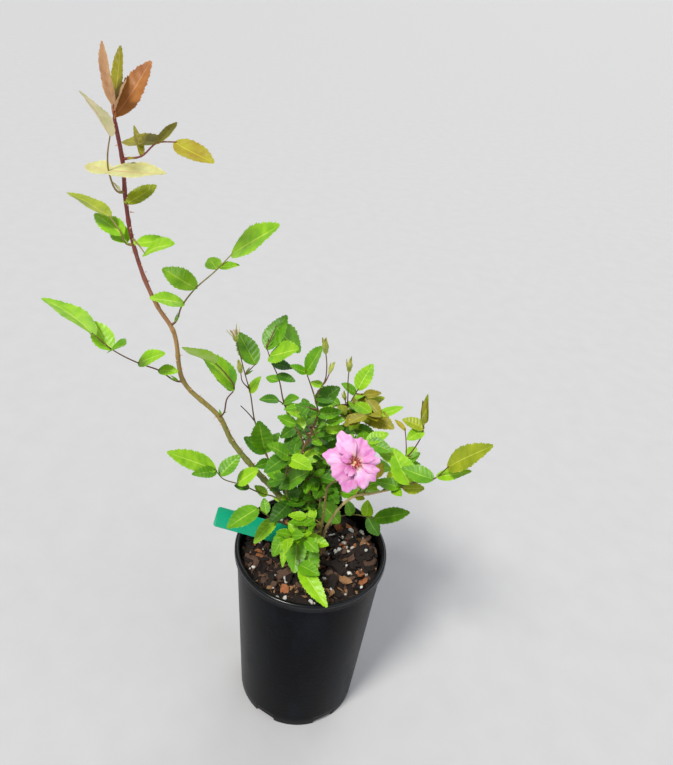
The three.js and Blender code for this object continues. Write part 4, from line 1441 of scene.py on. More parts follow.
@dataclass
class Wood:
    """The crown and the limbs, with their bark, nodes and prickles.

    Attributes:
        crown_profile: Heights above the crown's foot and its radius at each.
        sides, spacing: Sides of a limb, and the distance between its rings.
        node_gap: The distance between the swollen nodes.
        prickle: The length of a prickle on the main cane.
        prickle_gaps: The mean distance between prickles on the main cane and on a shoot.
        slimness: A shoot's thickness over its thickness in the frame.
        root: How far a limb runs down into the crown.
    """

    crown_profile: Profile = (
        (0.0, 9.2), (0.8, 9.4), (2.0, 9.0), (3.3, 8.4), (5.5, 8.0), (8.0, 7.9), (10.0, 7.8), (10.8, 7.0),
        (11.0, 5.0), (11.0, 2.5),
    )
    sides: int = 16
    spacing: float = 1.0
    node_gap: float = 17.0
    prickle: float = 2.2
    prickle_gaps: Pair = (5.5, 9)
    slimness: float = 0.74
    root: float = 2.5
    seed: int = 11

    def build(self) -> None:
        """Builds the crown and the limbs."""
        self.crown()
        for name in LIMBS:
            self.limb(name)

    def crown(self) -> None:
        """Builds the woody foot: a turned profile pushed in and out by lengthwise ripples."""
        foot = np.array(GROWTH.crown)
        rings = spun(foot, UP, self.crown_profile, 64)
        relief = ripples(rings * (1, 1, 0.25), self.seed, 7) * 0.35 + ripples(rings, self.seed + 1, 3) * 0.15
        rings = rings + unit((rings - foot) * (1, 1, 0)) * (relief[..., None] - 0.4)
        settle(Gather().rings(rings).piece("crown", ["crown_bark"], 50), "stem_bark", "crown_stem")

    def limb(self, name: str) -> None:
        """Builds one limb with its prickles.

        The tube's radius tapers evenly and is multiplied by a bump at each node and by fine lengthwise ripples.

        Args:
            name: The limb, a node of the frame.
        """
        limb, path, cane = LIMBS[name], GROWTH.limb(name), name == "main_cane"
        rooted = Path(np.vstack([path.corners[0] - UP * self.root, path.corners]))
        line = rooted.smooth(self.spacing)
        reach = np.linspace(0, rooted.reach[-1], len(line))
        slim = 1 if cane else self.slimness
        fall = (1 - reach / reach[-1]) ** (1.9 if cane else 1.0)
        nodes = 0.5 + 0.5 * np.cos(2 * np.pi * reach / self.node_gap)
        radius = slim * between(*limb.radii[::-1], fall) * (1 + 0.16 * nodes**14)
        rings = tube(line, radius * np.where(reach > reach[-1] - 1.2, 0.92, 1), self.sides)
        relief = 1 + 0.035 * ripples(rings * (1, 1, 0.3), self.seed, 2.4)[..., None]
        prickles = self.prickles(path, limb, slim, self.prickle_gaps[0 if cane else 1])
        gather = Gather().rings(between(line[:, None], rings, relief)).rings(prickles, 1)
        finishes = [LIMB_BARKS.get(name, "shoot_bark"), "prickle"]
        settle(gather.piece(name + "_bark", finishes, 50), "cane_bark" if cane else "stem_bark", name)

    def prickles(self, path: Path, limb: Limb, slim: float, spacing: float) -> Array:
        """Prickles round a limb: short tubes that taper to a point and hook down.

        Args:
            path: The limb's path.
            limb: Its radii.
            slim: What its radii are multiplied by.
            spacing: The mean distance between them along it.

        Returns:
            Their rings, (prickles, 5, 7, 3).
        """
        rng = np.random.default_rng(self.seed + len(path.corners))
        length = self.prickle * min(1, limb.radii[0] / 1.6)
        count = max(3, int(path.reach[-1] / spacing))
        share = (np.arange(count) + rng.uniform(0.1, 0.9, count)) / count
        point, along = np.array([path.at(float(x)) for x in share * 0.97 + 0.01]).transpose(1, 0, 2)
        side = unit(np.cross(along, (0.1, 0.3, 1)))
        out = swing(side, np.cross(along, side), rng.uniform(0, 2 * np.pi, count))
        radius = slim * between(*limb.radii[::-1], (1 - share) ** 1.9)
        size = length * rng.uniform(0.55, 1.0, count)[:, None, None]
        t = np.linspace(0, 1, 5)[None, :, None]
        foot = (point + out * (radius * 0.8)[:, None])[:, None]
        centres = foot + out[:, None] * size * t - along[:, None] * size * 0.35 * t**2
        radii = (0.42 * (1 - t[..., 0]) ** 1.3 + 0.04) * (size[..., 0] / length + 0.2)
        return tube(centres, radii, 7)


# What ends the twigs


def add_sepals(leaf: Gather, foot: Array, way: Array, out: Array, length: Array, width: float,
               tint: Tint, seed: int) -> None:
    """Adds sepals whose upper sides face inwards.

    Each blade's turn is the angle from where the light draws its face to the direction opposite to out.

    Args:
        leaf: Where they go.
        foot: Where each starts.
        way: Its direction.
        out: What its upper side faces away from.
        length: Its length.
        width: Its width over its length.
        tint: Their tint.
        seed: The seed of their bends.
    """
    face, inward = square(LIGHT, way), square(-out, way)
    turn = np.degrees(np.arctan2(np.sum(np.cross(face, inward) * way, axis=1), np.sum(face * inward, axis=1)))
    rings = SEPAL.rings(foot, way, length, turn, np.full(len(length), width), seed)
    leaf.rings(rings, SEPAL.slots(np.full(len(length), 3 * tint.value)))


@dataclass
class Ends:
    """Buds, young shoots and the spent cup.

    Attributes:
        sink: How far each is sunk into its twig's tip.
        bud, small_bud: The length and the widest radius of a bud and of a small one.
        shoot_length, cup_length: The length of a young shoot and of the spent cup.
        sepals: Sepals of a bud or the cup.
        cup: The distance along the cup and its radius, ring by ring.
        hairs: Dry stamens in the cup.
        tip_row: The first row of a bud's profile that has the tip's finish.
        seat: A bud's radius over its widest at shares of its length.
        body, leaf: What bodies and what blades are gathered in.
    """

    sink: float = 0.8
    bud: Pair = (12, 1.85)
    small_bud: Pair = (7, 1.2)
    shoot_length: float = 20
    cup_length: float = 6
    sepals: int = 5
    seed: int = 31
    cup: Profile = (
        (0, 0.5), (0.5, 0.9), (1.4, 1.5), (2.6, 1.9), (3.8, 1.8), (4.6, 1.5), (5.0, 1.2), (5.2, 0.5),
    )
    hairs: int = 22
    tip_row: int = 8
    seat: Profile = (
        (0.0, 0.28), (0.05, 0.42), (0.12, 0.66), (0.2, 0.78), (0.27, 0.7), (0.33, 0.8), (0.45, 1.0), (0.58, 0.94),
        (0.7, 0.66), (0.82, 0.36), (0.93, 0.14), (1.0, 0.02),
    )
    body: Gather = field(default_factory=Gather)
    leaf: Gather = field(default_factory=Gather)

    def build(self) -> None:
        """Builds the ends of all the twigs that have one, but for the bloom."""
        ended = [shoot for name in FOLIAGE for shoot in GROWTH.shoots(name) if shoot.twig.end is not End.LEAF]
        for number, shoot in enumerate(ended):
            tip, along = shoot.path.at(1)
            root = tip - along * self.sink
            end = shoot.twig.end
            if end in (End.BUD, End.SMALL_BUD):
                self.add_bud(root, along, *(self.bud if end is End.BUD else self.small_bud), number)
            elif end is End.YOUNG_SHOOT:
                self.add_shoot(root, along)
            elif end is End.CUP:
                self.add_cup(root, along)
        nodes = sorted({shoot.spray for shoot in ended if shoot.twig.end is not End.BLOOM})
        settle(self.body.piece("buds", ["bud_green", "bud_tip"], 60), "foliage", *nodes)
        settle(self.leaf.piece("bud_sepals", LEAF_SLOTS, 60), "foliage", *nodes)

    def add_bud(self, root: Array, along: Array, length: float, radius: float, number: int) -> None:
        """Adds one closed bud: a turned seat and body, clasped by sepals that end in free points.

        Args:
            root: Its foot.
            along: Its direction.
            length: Its length.
            radius: Its widest radius.
            number: Its number, which turns its sepals.
        """
        profile = np.array(self.seat) * (length * 0.92, radius)
        self.body.rings(spun(root, along, profile, 20), np.arange(len(profile) - 1)[:, None] >= self.tip_row)
        out = self.whorl(along, 2 * np.pi * (np.arange(self.sepals) + 0.3 * number) / self.sepals)
        foot = root + along * 0.3 * length + out * radius * 0.66
        way = unit(along + out * np.array((-0.1, 0.0, -0.06, -0.12, 0.1))[:, None])
        size = length * np.array((0.72, 0.6, 0.78, 0.66, 0.6))
        add_sepals(self.leaf, foot, way, out, size, 0.17, Tint.OLIVE, self.seed)

    def whorl(self, along: Array, turn: Array) -> Array:
        """Directions square to an end's own, at turns in radians round it."""
        side = unit(np.cross(along, (0.3, 1, 0.1)))
        return swing(side, np.cross(along, side), turn)

    def add_shoot(self, root: Array, along: Array) -> None:
        """Adds a young shoot: narrow leaves folded up round its tip, in two colours.

        Args:
            root: Its foot.
            along: Its direction.
        """
        ring = np.arange(8)
        out = self.whorl(along, 2.4 * ring)
        foot = root + along * (0.5 + 0.9 * ring)[:, None] + out * 0.3
        way = unit(along + out * (0.02 + 0.05 * (ring % 3))[:, None])
        length = self.shoot_length * (0.66 + 0.09 * (ring % 4))
        for tint, some in ((Tint.GOLD, ring % 3 == 0), (Tint.OLIVE, ring % 3 != 0)):
            add_sepals(self.leaf, foot[some], way[some], out[some], length[some], 0.27, tint, self.seed)

    def add_cup(self, root: Array, along: Array) -> None:
        """Adds the spent cup: a hip with a crown of dry stamens inside spread sepals.

        Args:
            root: Its foot.
            along: Its direction.
        """
        self.body.rings(spun(root, along, self.cup, 20))
        side = square(np.array((1.0, 0, 0)), along)
        up = np.cross(along, side)
        out = swing(side, up, 2 * np.pi * np.arange(self.sepals) / self.sepals)
        foot = root + along * self.cup_length * 0.6 + out * 0.9
        way = swing(along, out, np.full(self.sepals, math.radians(30)))
        add_sepals(self.leaf, foot, way, out, np.array((6.5, 8.0, 5.5, 7.5, 6.0)), 0.13, Tint.BLUSH, self.seed)
        rng = np.random.default_rng(self.seed)
        ring = swing(side, up, rng.uniform(0, 2 * np.pi, self.hairs))
        lean = rng.uniform(0.05, 0.6, self.hairs)[:, None]
        t = np.linspace(0, 1, 4)[None, :, None]
        start = root + along * 4.8 + ring * 0.9
        hairs = start[:, None] + unit(along + ring * lean)[:, None] * 3.2 * t
        self.body.rings(tube(hairs, np.full(hairs.shape[:2], 0.16), 5), 1)


@dataclass(frozen=True)
class Petal:
    """One petal of the bloom.

    Attributes:
        bearing: Where it points, in degrees from the bloom's right-hand side towards its top.
        length: How far its tip lies from the bloom's heart.
        spread: Half of the angle that it fans out over, in degrees.
        notch: How deep the notch in its tip is, over its length.
        point: How far its middle, or each of its corners beside a notch, is drawn out.
        lean: How far it leans towards where the bloom faces, in degrees.
        depth: How deep its pink is, from 0 to 1.
    """

    bearing: float
    length: float
    spread: float
    notch: float
    point: float
    lean: float
    depth: float


@dataclass
class Bloom:
    """The open bloom: two loose rings of petals, the lowest first, stamens, a seat and its sepals.

    Attributes:
        facing: The azimuth and elevation it faces.
        rows, columns: Rows of points along a petal, and points across it.
        stamens: How many stamens stand round its heart.
        sink, height: How far it is sunk into its twig's tip, and how far its heart lies ahead of that.
        thickness: A petal's thickness.
        anther, dome, seat: The distance along an anther, the dome of styles or the seat, and its radius there.
        sepals: The bearings of its sepals, measured like a petal's.
    """

    facing: Pair = (-84, 40)
    petals: tuple[Petal, ...] = (
        Petal(74, 13.8, 37, 0.02, 0.05, 14, 0.6),
        Petal(-104, 15.0, 32, 0.03, 0.14, 8, 0.9),
        Petal(168, 15.4, 33, 0.02, 0.2, 12, 0.15),
        Petal(36, 12.4, 33, 0.02, 0.08, 18, 0.45),
        Petal(-4, 13.8, 31, 0.13, 0.1, 10, 0.3),
        Petal(-146, 13.8, 40, 0.03, 0.05, 12, 0.75),
        Petal(-50, 14.8, 38, 0.1, 0.06, 8, -0.15),
        Petal(120, 16.2, 29, 0.02, 0.2, 13, 0.1),
        Petal(150, 9.5, 34, 0.05, 0.05, 30, 0.8),
        Petal(-124, 9.5, 32, 0.05, 0.05, 34, 1.1),
    )
    rows: int = 18
    columns: int = 21
    stamens: int = 34
    seed: int = 41
    sink: float = 0.8
    height: float = 4.2
    thickness: float = 0.22
    anther: Profile = ((-0.4, 0.06), (-0.25, 0.25), (0.1, 0.28), (0.4, 0.08))
    dome: Profile = ((-0.6, 0.4), (0.2, 1.1), (1.0, 1.0), (1.5, 0.5), (1.7, 0.1))
    seat: Profile = (
        (0, 0.7), (0.8, 1.7), (2.2, 2.5), (3.6, 2.3), (4.6, 2.0), (5.4, 1.5), (5.8, 0.5),
    )
    sepals: tuple[float, ...] = (60, 130, 200, 275, 345)

    def build(self) -> None:
        """Builds the bloom on the twig that carries it."""
        shoot = next(s for s in GROWTH.shoots("bloom_spray") if s.twig.end is End.BLOOM)
        tip, along = shoot.path.at(1)
        facing, _, _ = self.axes()
        root = tip - along * self.sink
        self.add_petals(root + facing * self.height)
        self.add_heart(root + facing * self.height)
        self.add_seat(root - facing)

    def axes(self) -> tuple[Array, Array, Array]:
        """Works out how the bloom stands.

        Returns:
            Where it faces, its right-hand side and its top.
        """
        facing = heading(*self.facing)
        up = square(UP, facing)
        return facing, np.cross(up, facing), up

    def add_petals(self, heart: Array) -> None:
        """Builds the petals.

        A petal is a fan of rays from its claw: a ray at angle a reaches length * (1 - notch at its middle +
        point beside it), and along it the surface rises like a shallow bowl and rolls back at its rim.

        Args:
            heart: Where their claws meet.
        """
        facing, right, up = self.axes()
        columns = np.array([astuple(petal) for petal in self.petals]).T[..., None, None]
        bearing, length, spread, notch, point, lean, depth = columns
        t = np.linspace(0.04, 1, self.rows)[None, :, None]
        v = np.linspace(-1, 1, self.columns)[None, None, :]
        rng = np.random.default_rng(self.seed)
        phase, flare = rng.uniform(0, 1, (2, len(self.petals), 1, 1))
        middle = np.exp(-((v / 0.2) ** 2))
        shoulder = np.exp(-(((np.abs(v) - 0.34) / 0.2) ** 2))
        tip = np.where(notch > 0.04, point * shoulder - notch * middle, point * np.exp(-((v / 0.28) ** 2)))
        outline = 1 - 0.34 * np.abs(v) ** 2.6 + tip + 0.03 * np.sin(2 * np.pi * (2.6 * v + phase))
        fan = np.radians(spread) * v * (1 + 0.1 * t)
        reach = length * t * (1 + (outline - 1) * t**2)
        lift = length * (
            0.12 * np.sin(np.pi * t * 0.9) + 0.09 * (v**2) * t - 0.1 * t**3 * (1 + flare)
            + 0.07 * np.sin(2 * np.pi * (0.8 * v + phase)) * t**2
            + 0.03 * np.cos(2 * np.pi * (1.9 * v + flare)) * t**2
        )
        flat = swing(right, up, np.radians(bearing) + fan)
        tilt = np.radians(lean)
        order = 0.22 * np.arange(len(self.petals))[:, None, None]
        top = (
            heart + flat * (reach * np.cos(tilt))[..., None]
            + facing * (reach * np.sin(tilt) + lift + order)[..., None]
        )
        note = np.stack(np.broadcast_arrays(v, t, depth), axis=-1)
        gather = Gather().sheets(top, top - facing * self.thickness, note)
        settle(gather.piece("bloom_petals", ["petal"], 70), "foliage", "bloom_spray")

    def add_heart(self, heart: Array) -> None:
        """Builds the filaments, thin tubes that spread from the heart, their anthers, and the styles between.

        Args:
            heart: The middle of the bloom.
        """
        facing, right, up = self.axes()
        rng = np.random.default_rng(self.seed + 1)
        turn = np.linspace(0, 2 * np.pi, self.stamens, endpoint=False) + rng.uniform(-0.1, 0.1, self.stamens)
        spread = rng.uniform(0.25, 0.95, self.stamens)
        length = rng.uniform(2.6, 4.6, self.stamens)
        flat = swing(right, up, turn)
        way = unit(facing + flat * spread[:, None])
        t = np.linspace(0, 1, 5)[None, :, None]
        centres = heart + facing * 2.2 + flat[:, None] * 1.1 + way[:, None] * length[:, None, None] * t
        gather = Gather().rings(tube(centres, np.full(centres.shape[:2], 0.15), 6), 0)
        gather.rings(spun(centres[:, -1], unit(flat + facing * 0.4), self.anther, 7), 1)
        gather.rings(spun(heart + facing * 2.4, facing, self.dome, 16), 2)
        settle(gather.piece("bloom_heart", ["filament", "anther", "style"], 60), "foliage", "bloom_spray")

    def add_seat(self, foot: Array) -> None:
        """Builds the green seat behind the petals, and its sepals, laid back.

        Args:
            foot: The seat's foot.
        """
        facing, right, up = self.axes()
        seat = Gather().rings(spun(foot, facing, self.seat, 20))
        settle(seat.piece("bloom_seat", ["bud_green"], 60), "foliage", "bloom_spray")
        flat = swing(right, up, np.radians(self.sepals))
        start = foot + facing * 4.4 + flat * 1.4
        leaf = Gather()
        add_sepals(leaf, start, unit(flat - facing * 0.25), -facing, np.full(len(flat), 13.0), 0.22, Tint.BRIGHT,
                   self.seed)
        settle(leaf.piece("bloom_sepals", LEAF_SLOTS, 60), "foliage", "bloom_spray")


# The pot and what is in it


@dataclass
class Pot:
    """The tall round nursery pot.

    neck_radius is that of its wall under the lip, and drains counts the notches through its bottom edge, with the
    width and height of one, and the bearing of the first in degrees.
    """

    height: float = 140
    rim_radius: float = 50
    neck_radius: float = 48.2
    base_radius: float = 42
    wall: float = 1.5
    floor: float = 2
    lip_depth: float = 6
    drains: int = 6
    drain_size: Pair = (15, 4.5)
    drain_turn: float = 3
    sides: int = 144

    def profile(self) -> Array:
        """Works out the wall's section.

        Returns:
            Radii and heights, from the middle of its underside round the lip to the middle of its floor.
        """
        rim, neck, base = self.rim_radius, self.neck_radius, self.base_radius
        top, lip, wall = self.height, self.height - self.lip_depth, self.wall
        slope = np.linspace(0.06, 0.97, 16)[:, None]
        outer = (1 - slope) * (base, 1.4) + slope * (neck, lip - 0.8)
        inner = (1 - slope[::-1]) * (base - wall, 3.4) + slope[::-1] * (neck - wall, top - 6)
        roll = np.linspace(-0.5, 1, 12)[:, None] * np.pi / 2
        curl = (rim - 1.5, top - 1.5) + 1.5 * np.hstack([np.cos(roll), np.sin(roll)])
        return np.vstack([
            [(0.6, 0.9), (base - 6, 0.9), (base - 5, 0.2), (base - 1.2, 0), (base - 0.3, 0.3), (base, 1.0)],
            outer,
            [(neck, lip - 0.3), (neck + 0.35, lip)],
            [(rim - 0.5, lip + 0.2), (rim - 0.1, lip + 0.7), (rim, lip + 1.6)],
            curl,
            [(rim - 2.2, top - 0.2), (neck - wall + 0.5, top - 0.7), (neck - wall, top - 1.6)],
            inner,
            [(base - wall - 0.4, 2.4), (base - wall - 1.4, self.floor), (0.6, self.floor)],
        ])

    def build(self) -> None:
        """Builds the pot: its section turned, then the drain notches cut out."""
        rings = spun(np.zeros(3), UP, self.profile()[:, ::-1], self.sides)
        dent = ripples(rings * (1, 1, 0.6), 3, 90, 8)[..., None] * 0.12
        rings = rings + unit(rings * (1, 1, 0)) * dent * np.minimum(rings[..., 2:] / 30, 1)
        pot = Gather().rings(rings).piece("nursery_pot", ["pot_plastic"], 32)
        cutter = self.cutter()
        cut = pot.modifiers.new("drains", "BOOLEAN")
        cut.operation = "DIFFERENCE"
        cut.solver = "EXACT"
        cut.object = cutter
        shaped = bpy.data.meshes.new_from_object(pot.evaluated_get(bpy.context.evaluated_depsgraph_get()))
        pot.modifiers.clear()
        pot.data = shaped
        bpy.data.objects.remove(cutter)
        settle(pot, "pot_plastic", "pot")

    def cutter(self) -> bpy.types.Object:
        """Makes arched blocks at the notches: a flat section with a round top, carried through the edge.

        Returns:
            The blocks, in one object.
        """
        width, height = self.drain_size
        arch = np.linspace(0, np.pi, 9)
        section = np.vstack([
            [(-width / 2, -2), (width / 2, -2)],
            np.stack([width / 2 * np.cos(arch), height - 2 + 2 * np.sin(arch)], axis=1),
        ])
        turn = self.drain_turn + 360 * np.arange(self.drains) / self.drains
        out = heading(turn, 0 * turn)[:, None, None]
        reach = np.array((self.base_radius - 5.5, self.base_radius + 6))[None, :, None, None]
        rings = out * reach + np.cross(UP, out) * section[:, :1] + UP * section[:, 1:]
        return Gather().rings(rings).piece("drain_cutter", [], 30)


@dataclass
class Mix:
    """The potting mix: its body, bark chips, white grains and fibres.

    Attributes:
        level, floor: The heights of its top and its underside.
        radius: Its radius at the top and at its underside.
        relief: How far its top rises and sinks.
        chips, grains, fibres: How many of each lie on it.
        around: Points round its body.
        kinds: The shares of dark, brown, pale and tan chips.
        seen_chips: Where the chips that show most lie, their half width, their length over it, their bearing in
            degrees and their kind.
        seen_grains: Where the largest white grains lie.
    """

    level: float = 130
    floor: float = 2.3
    radius: Pair = (45.7, 40.1)
    relief: float = 1.9
    chips: int = 1150
    grains: int = 110
    fibres: int = 70
    seed: int = 17
    around: int = 150
    kinds: tuple[float, ...] = (0.7, 0.21, 0.05, 0.04)
    seen_chips: Table = (
        (39.5, 1.0, 4.2, 1.5, 60, 1), (36.5, -17.5, 2.4, 1.9, 52, 3), (22.5, -17.5, 2.7, 2.6, -32, 2),
        (-13.0, -33.0, 1.8, 2.2, 80, 2), (34.0, 9.5, 3.6, 1.4, 20, 0), (-6.5, -31.0, 2.0, 1.8, 60, 2),
        (-37.0, -1.0, 1.8, 2.2, 70, 3), (-30.0, -8.0, 1.7, 2.0, 40, 1), (29.0, -4.0, 3.2, 1.5, 100, 0),
    )
    seen_grains: Profile = (
        (26.2, 25.1), (26.5, 19.4), (22.2, 14.9), (18.9, 8.0), (12.0, 3.7), (33.7, 27.7), (37.1, 14.1),
        (27.1, -12.3), (31.1, -26.3), (-25.1, -0.1), (-13.8, -21.3), (4.0, -39.4), (42.3, 5.7), (23.9, 11.4),
        (16.6, 5.0), (11.8, 20.7), (21.3, -20.8), (-24.5, 3.5), (20.6, 17.5),
    )
    rng: np.random.Generator = field(init=False)

    def __post_init__(self) -> None:
        """Seeds the chances."""
        self.rng = np.random.default_rng(self.seed)

    def top(self, places: Array) -> Array:
        """Works out the height of the top: ripples of three sizes, laid flat towards the crown.

        Args:
            places: Where it is wanted, (..., 2).

        Returns:
            The height at each place.
        """
        near = np.linalg.norm(places - (1, 6), axis=-1)
        rough = ripples(places, 5, 19) * 0.5 + ripples(places, 6, 7) * 0.35 + ripples(places, 7, 3.2) * 0.2
        return self.level + self.relief * (rough - 0.35) * np.clip((near - 6) / 8, 0, 1)

    def build(self) -> None:
        """Builds the mix and what lies on it."""
        circle = circles(UP, UP, self.around)[:, :2]
        inward = np.linspace(1, 0.01, 46)[:, None, None] * self.radius[0] * circle
        surface = np.concatenate([inward, self.top(inward)[..., None]], axis=-1)
        side = np.linspace(0, 0.985, 12)[:, None, None]
        wall = between(*self.radius[::-1], side) * circle
        height = between(self.floor, self.level - 2, side) + np.zeros((self.around, 1))
        foot = np.concatenate([circle * 0.5, np.full((self.around, 1), self.floor)], axis=-1)[None]
        rings = np.concatenate([foot, np.concatenate([wall, height], axis=-1), surface])
        settle(Gather().rings(rings).piece("mix_body", ["earth"], 180), "potting_mix", "potting_mix")
        self.lay_chips()
        self.lay_grains()
        self.lay_fibres()

    def lay_chips(self) -> None:
        """Lays the bark chips on the top: the ones that show most, then the rest by chance."""
        size = np.exp(self.rng.normal(0.0, 0.52, self.chips)).clip(0.4, 3.2)
        stretch = self.rng.uniform(1.2, 3.4, self.chips)
        places = self.scatter(self.chips, 1.5)
        bearing = np.degrees(self.rng.uniform(0, np.pi, self.chips))
        kinds = self.rng.choice(4, self.chips, p=self.kinds)
        table = np.vstack([self.seen_chips, np.column_stack([places, size, stretch, bearing, kinds])])
        rings = self.lumps(table[:, :2], table[:, 2], table[:, 3], np.radians(table[:, 4]), 0.4, 7, 8, 0.9)
        gather = Gather().rings(rings, table[:, 5, None, None].astype(int))
        finishes = ["dark_bark", "bark", "pale_bark", "tan_bark"]
        settle(gather.piece("bark_chips", finishes, 35), "potting_mix", "potting_mix")

    def lay_grains(self) -> None:
        """Lays the white grains on the top, the seen ones larger than the rest."""
        places = np.vstack([self.seen_grains, self.scatter(self.grains, 3)])
        count = len(places)
        size = self.rng.uniform(0.35, 1.15, count) + 0.65 * (np.arange(count) < len(self.seen_grains))
        turn = self.rng.uniform(0, 3, count)
        rings = self.lumps(places, size, np.full(count, 1.15), turn, 0.85, 8, 10, 1.6)
        settle(Gather().rings(rings).piece("white_grains", ["grain"], 60), "potting_mix", "potting_mix")

    def lay_fibres(self) -> None:
        """Lays the fibres on the top: thin tubes along bows that rise and fall a little."""
        places = self.scatter(self.fibres, 8)[:, None]
        bearing = self.rng.uniform(0, 2 * np.pi, self.fibres)[:, None]
        t = np.linspace(-1, 1, 13)
        length = self.rng.uniform(2.5, 8, self.fibres)[:, None]
        bow = self.rng.uniform(-0.5, 0.5, self.fibres)[:, None]
        along, across = length * t, bow * length * (1 - t**2)
        x = along * np.cos(bearing) - across * np.sin(bearing)
        y = along * np.sin(bearing) + across * np.cos(bearing)
        flat = places + np.stack([x, y], axis=-1)
        height = self.top(flat) + 0.5 + 0.5 * np.cos(2.2 * t) * self.rng.uniform(0, 1.6, (self.fibres, 1))
        centres = np.concatenate([flat, height[..., None]], axis=-1)
        rings = tube(centres, np.broadcast_to(0.2 * (1.05 - t**2), height.shape), 6)
        settle(Gather().rings(rings).piece("fibres", ["fibre"], 60), "potting_mix", "potting_mix")

    def scatter(self, count: int, margin: float) -> Array:
        """Spreads places evenly over the top: the square root of a chance, times the radius, at any bearing.

        Args:
            count: How many places.
            margin: How far inside the mix's edge they stay.

        Returns:
            The places, (count, 2).
        """
        reach = (self.radius[0] - margin) * np.sqrt(self.rng.uniform(0, 1, count))
        turn = self.rng.uniform(0, 2 * np.pi, count)
        return np.stack([reach * np.cos(turn), reach * np.sin(turn)], axis=1)

    def lumps(self, places: Array, size: Array, stretch: Array, bearing: Array, flatness: float, rows: int,
              around: int, pile: float) -> Array:
        """Uneven lumps: balls squeezed flat, stretched along a bearing, tilted a little and knobbed by ripples.

        Args:
            places: Where each lies.
            size: Its half width.
            stretch: Its length over its width.
            bearing: The bearing of its length in radians.
            flatness: Its height over its width.
            rows: Rows of points on it.
            around: Points round it.
            pile: How far the lumps lie over one another.

        Returns:
            Closed rings, (lumps, rows, around, 3).
        """
        count = len(places)
        lean = np.linspace(0.06, np.pi - 0.06, rows)[:, None]
        turn = np.linspace(0, 2 * np.pi, around, endpoint=False)
        ball = np.stack(np.broadcast_arrays(np.sin(lean) * np.cos(turn), np.sin(lean) * np.sin(turn),
                                            -np.cos(lean)), axis=-1)
        shape = np.sign(ball) * np.abs(ball) ** np.array((0.7, 0.7, 0.6))
        apart = 9 * self.rng.uniform(-1, 1, (count, 1, 1, 3))
        knob = 1 + 0.2 * ripples(ball[None] + apart, self.seed, 2.2)[..., None]
        body = shape * knob * size[:, None, None, None]
        body = body * np.stack([stretch, np.ones(count), np.full(count, flatness)], axis=1)[:, None, None]
        tilt = self.rng.uniform(-0.55, 0.55, (2, count, 1, 1))
        height = body[..., 2] + tilt[0] * body[..., 0] + tilt[1] * body[..., 1]
        c, s = np.cos(bearing)[:, None, None], np.sin(bearing)[:, None, None]
        x = body[..., 0] * c - body[..., 1] * s + places[:, :1, None]
        y = body[..., 0] * s + body[..., 1] * c + places[:, 1:, None]
        inside = np.minimum(1, (self.radius[0] - 0.3) / np.hypot(x, y))
        x, y = x * inside, y * inside
        rest = 0.35 * flatness * size + pile * self.rng.uniform(0, 1, count)
        ground = (self.top(places) + rest)[:, None, None]
        return np.stack([x, y, np.minimum(height + ground, self.level + 4.5)], axis=-1)


@dataclass
class PlantLabel:
    """The blank plastic strip that lies from the mix (its head) out over the rim (its tail).

    tilt is the tilt of its width in degrees, and bow how far its middle sags.
    """

    tail: tuple[float, float, float] = (-65.5, 9, 146.8)
    head: tuple[float, float, float] = (-10.5, 9, 135.4)
    width: float = 14
    thickness: float = 0.6
    tilt: float = 25
    bow: float = 0.5

    def build(self) -> None:
        """Builds the strip: a rounded flat section carried along a shallow bow."""
        tail, head = np.array(self.tail), np.array(self.head)
        along = unit(head - tail)
        tilt = math.radians(self.tilt)
        across = square(np.array((0, math.cos(tilt), math.sin(tilt))), along)
        normal = np.cross(along, across)
        t = np.linspace(0, 1, 60)[:, None]
        half, thick = self.width / 2, self.thickness / 2
        edge = np.linspace(0, np.pi, 5)
        right = np.stack([half - thick + thick * np.sin(edge), thick * -np.cos(edge)], axis=1)
        section = np.vstack([right, -right])
        ends = np.minimum(1, 1 - 0.16 * np.clip(1 - np.minimum(t, 1 - t) / 0.03, 0, 1) ** 2)
        centre = between(tail, head, t) - normal * self.bow * np.sin(np.pi * t)
        rings = (
            centre[:, None] + across * (section[:, 0] * ends)[..., None]
            + normal * (section[:, 1] + 0.3 * (section[:, 0] / half) ** 2 * np.sin(np.pi * t))[..., None]
        )
        settle(Gather().rings(rings).piece("label_strip", ["label_plastic"], 50), "label_plastic", "plant_label")


# The studio


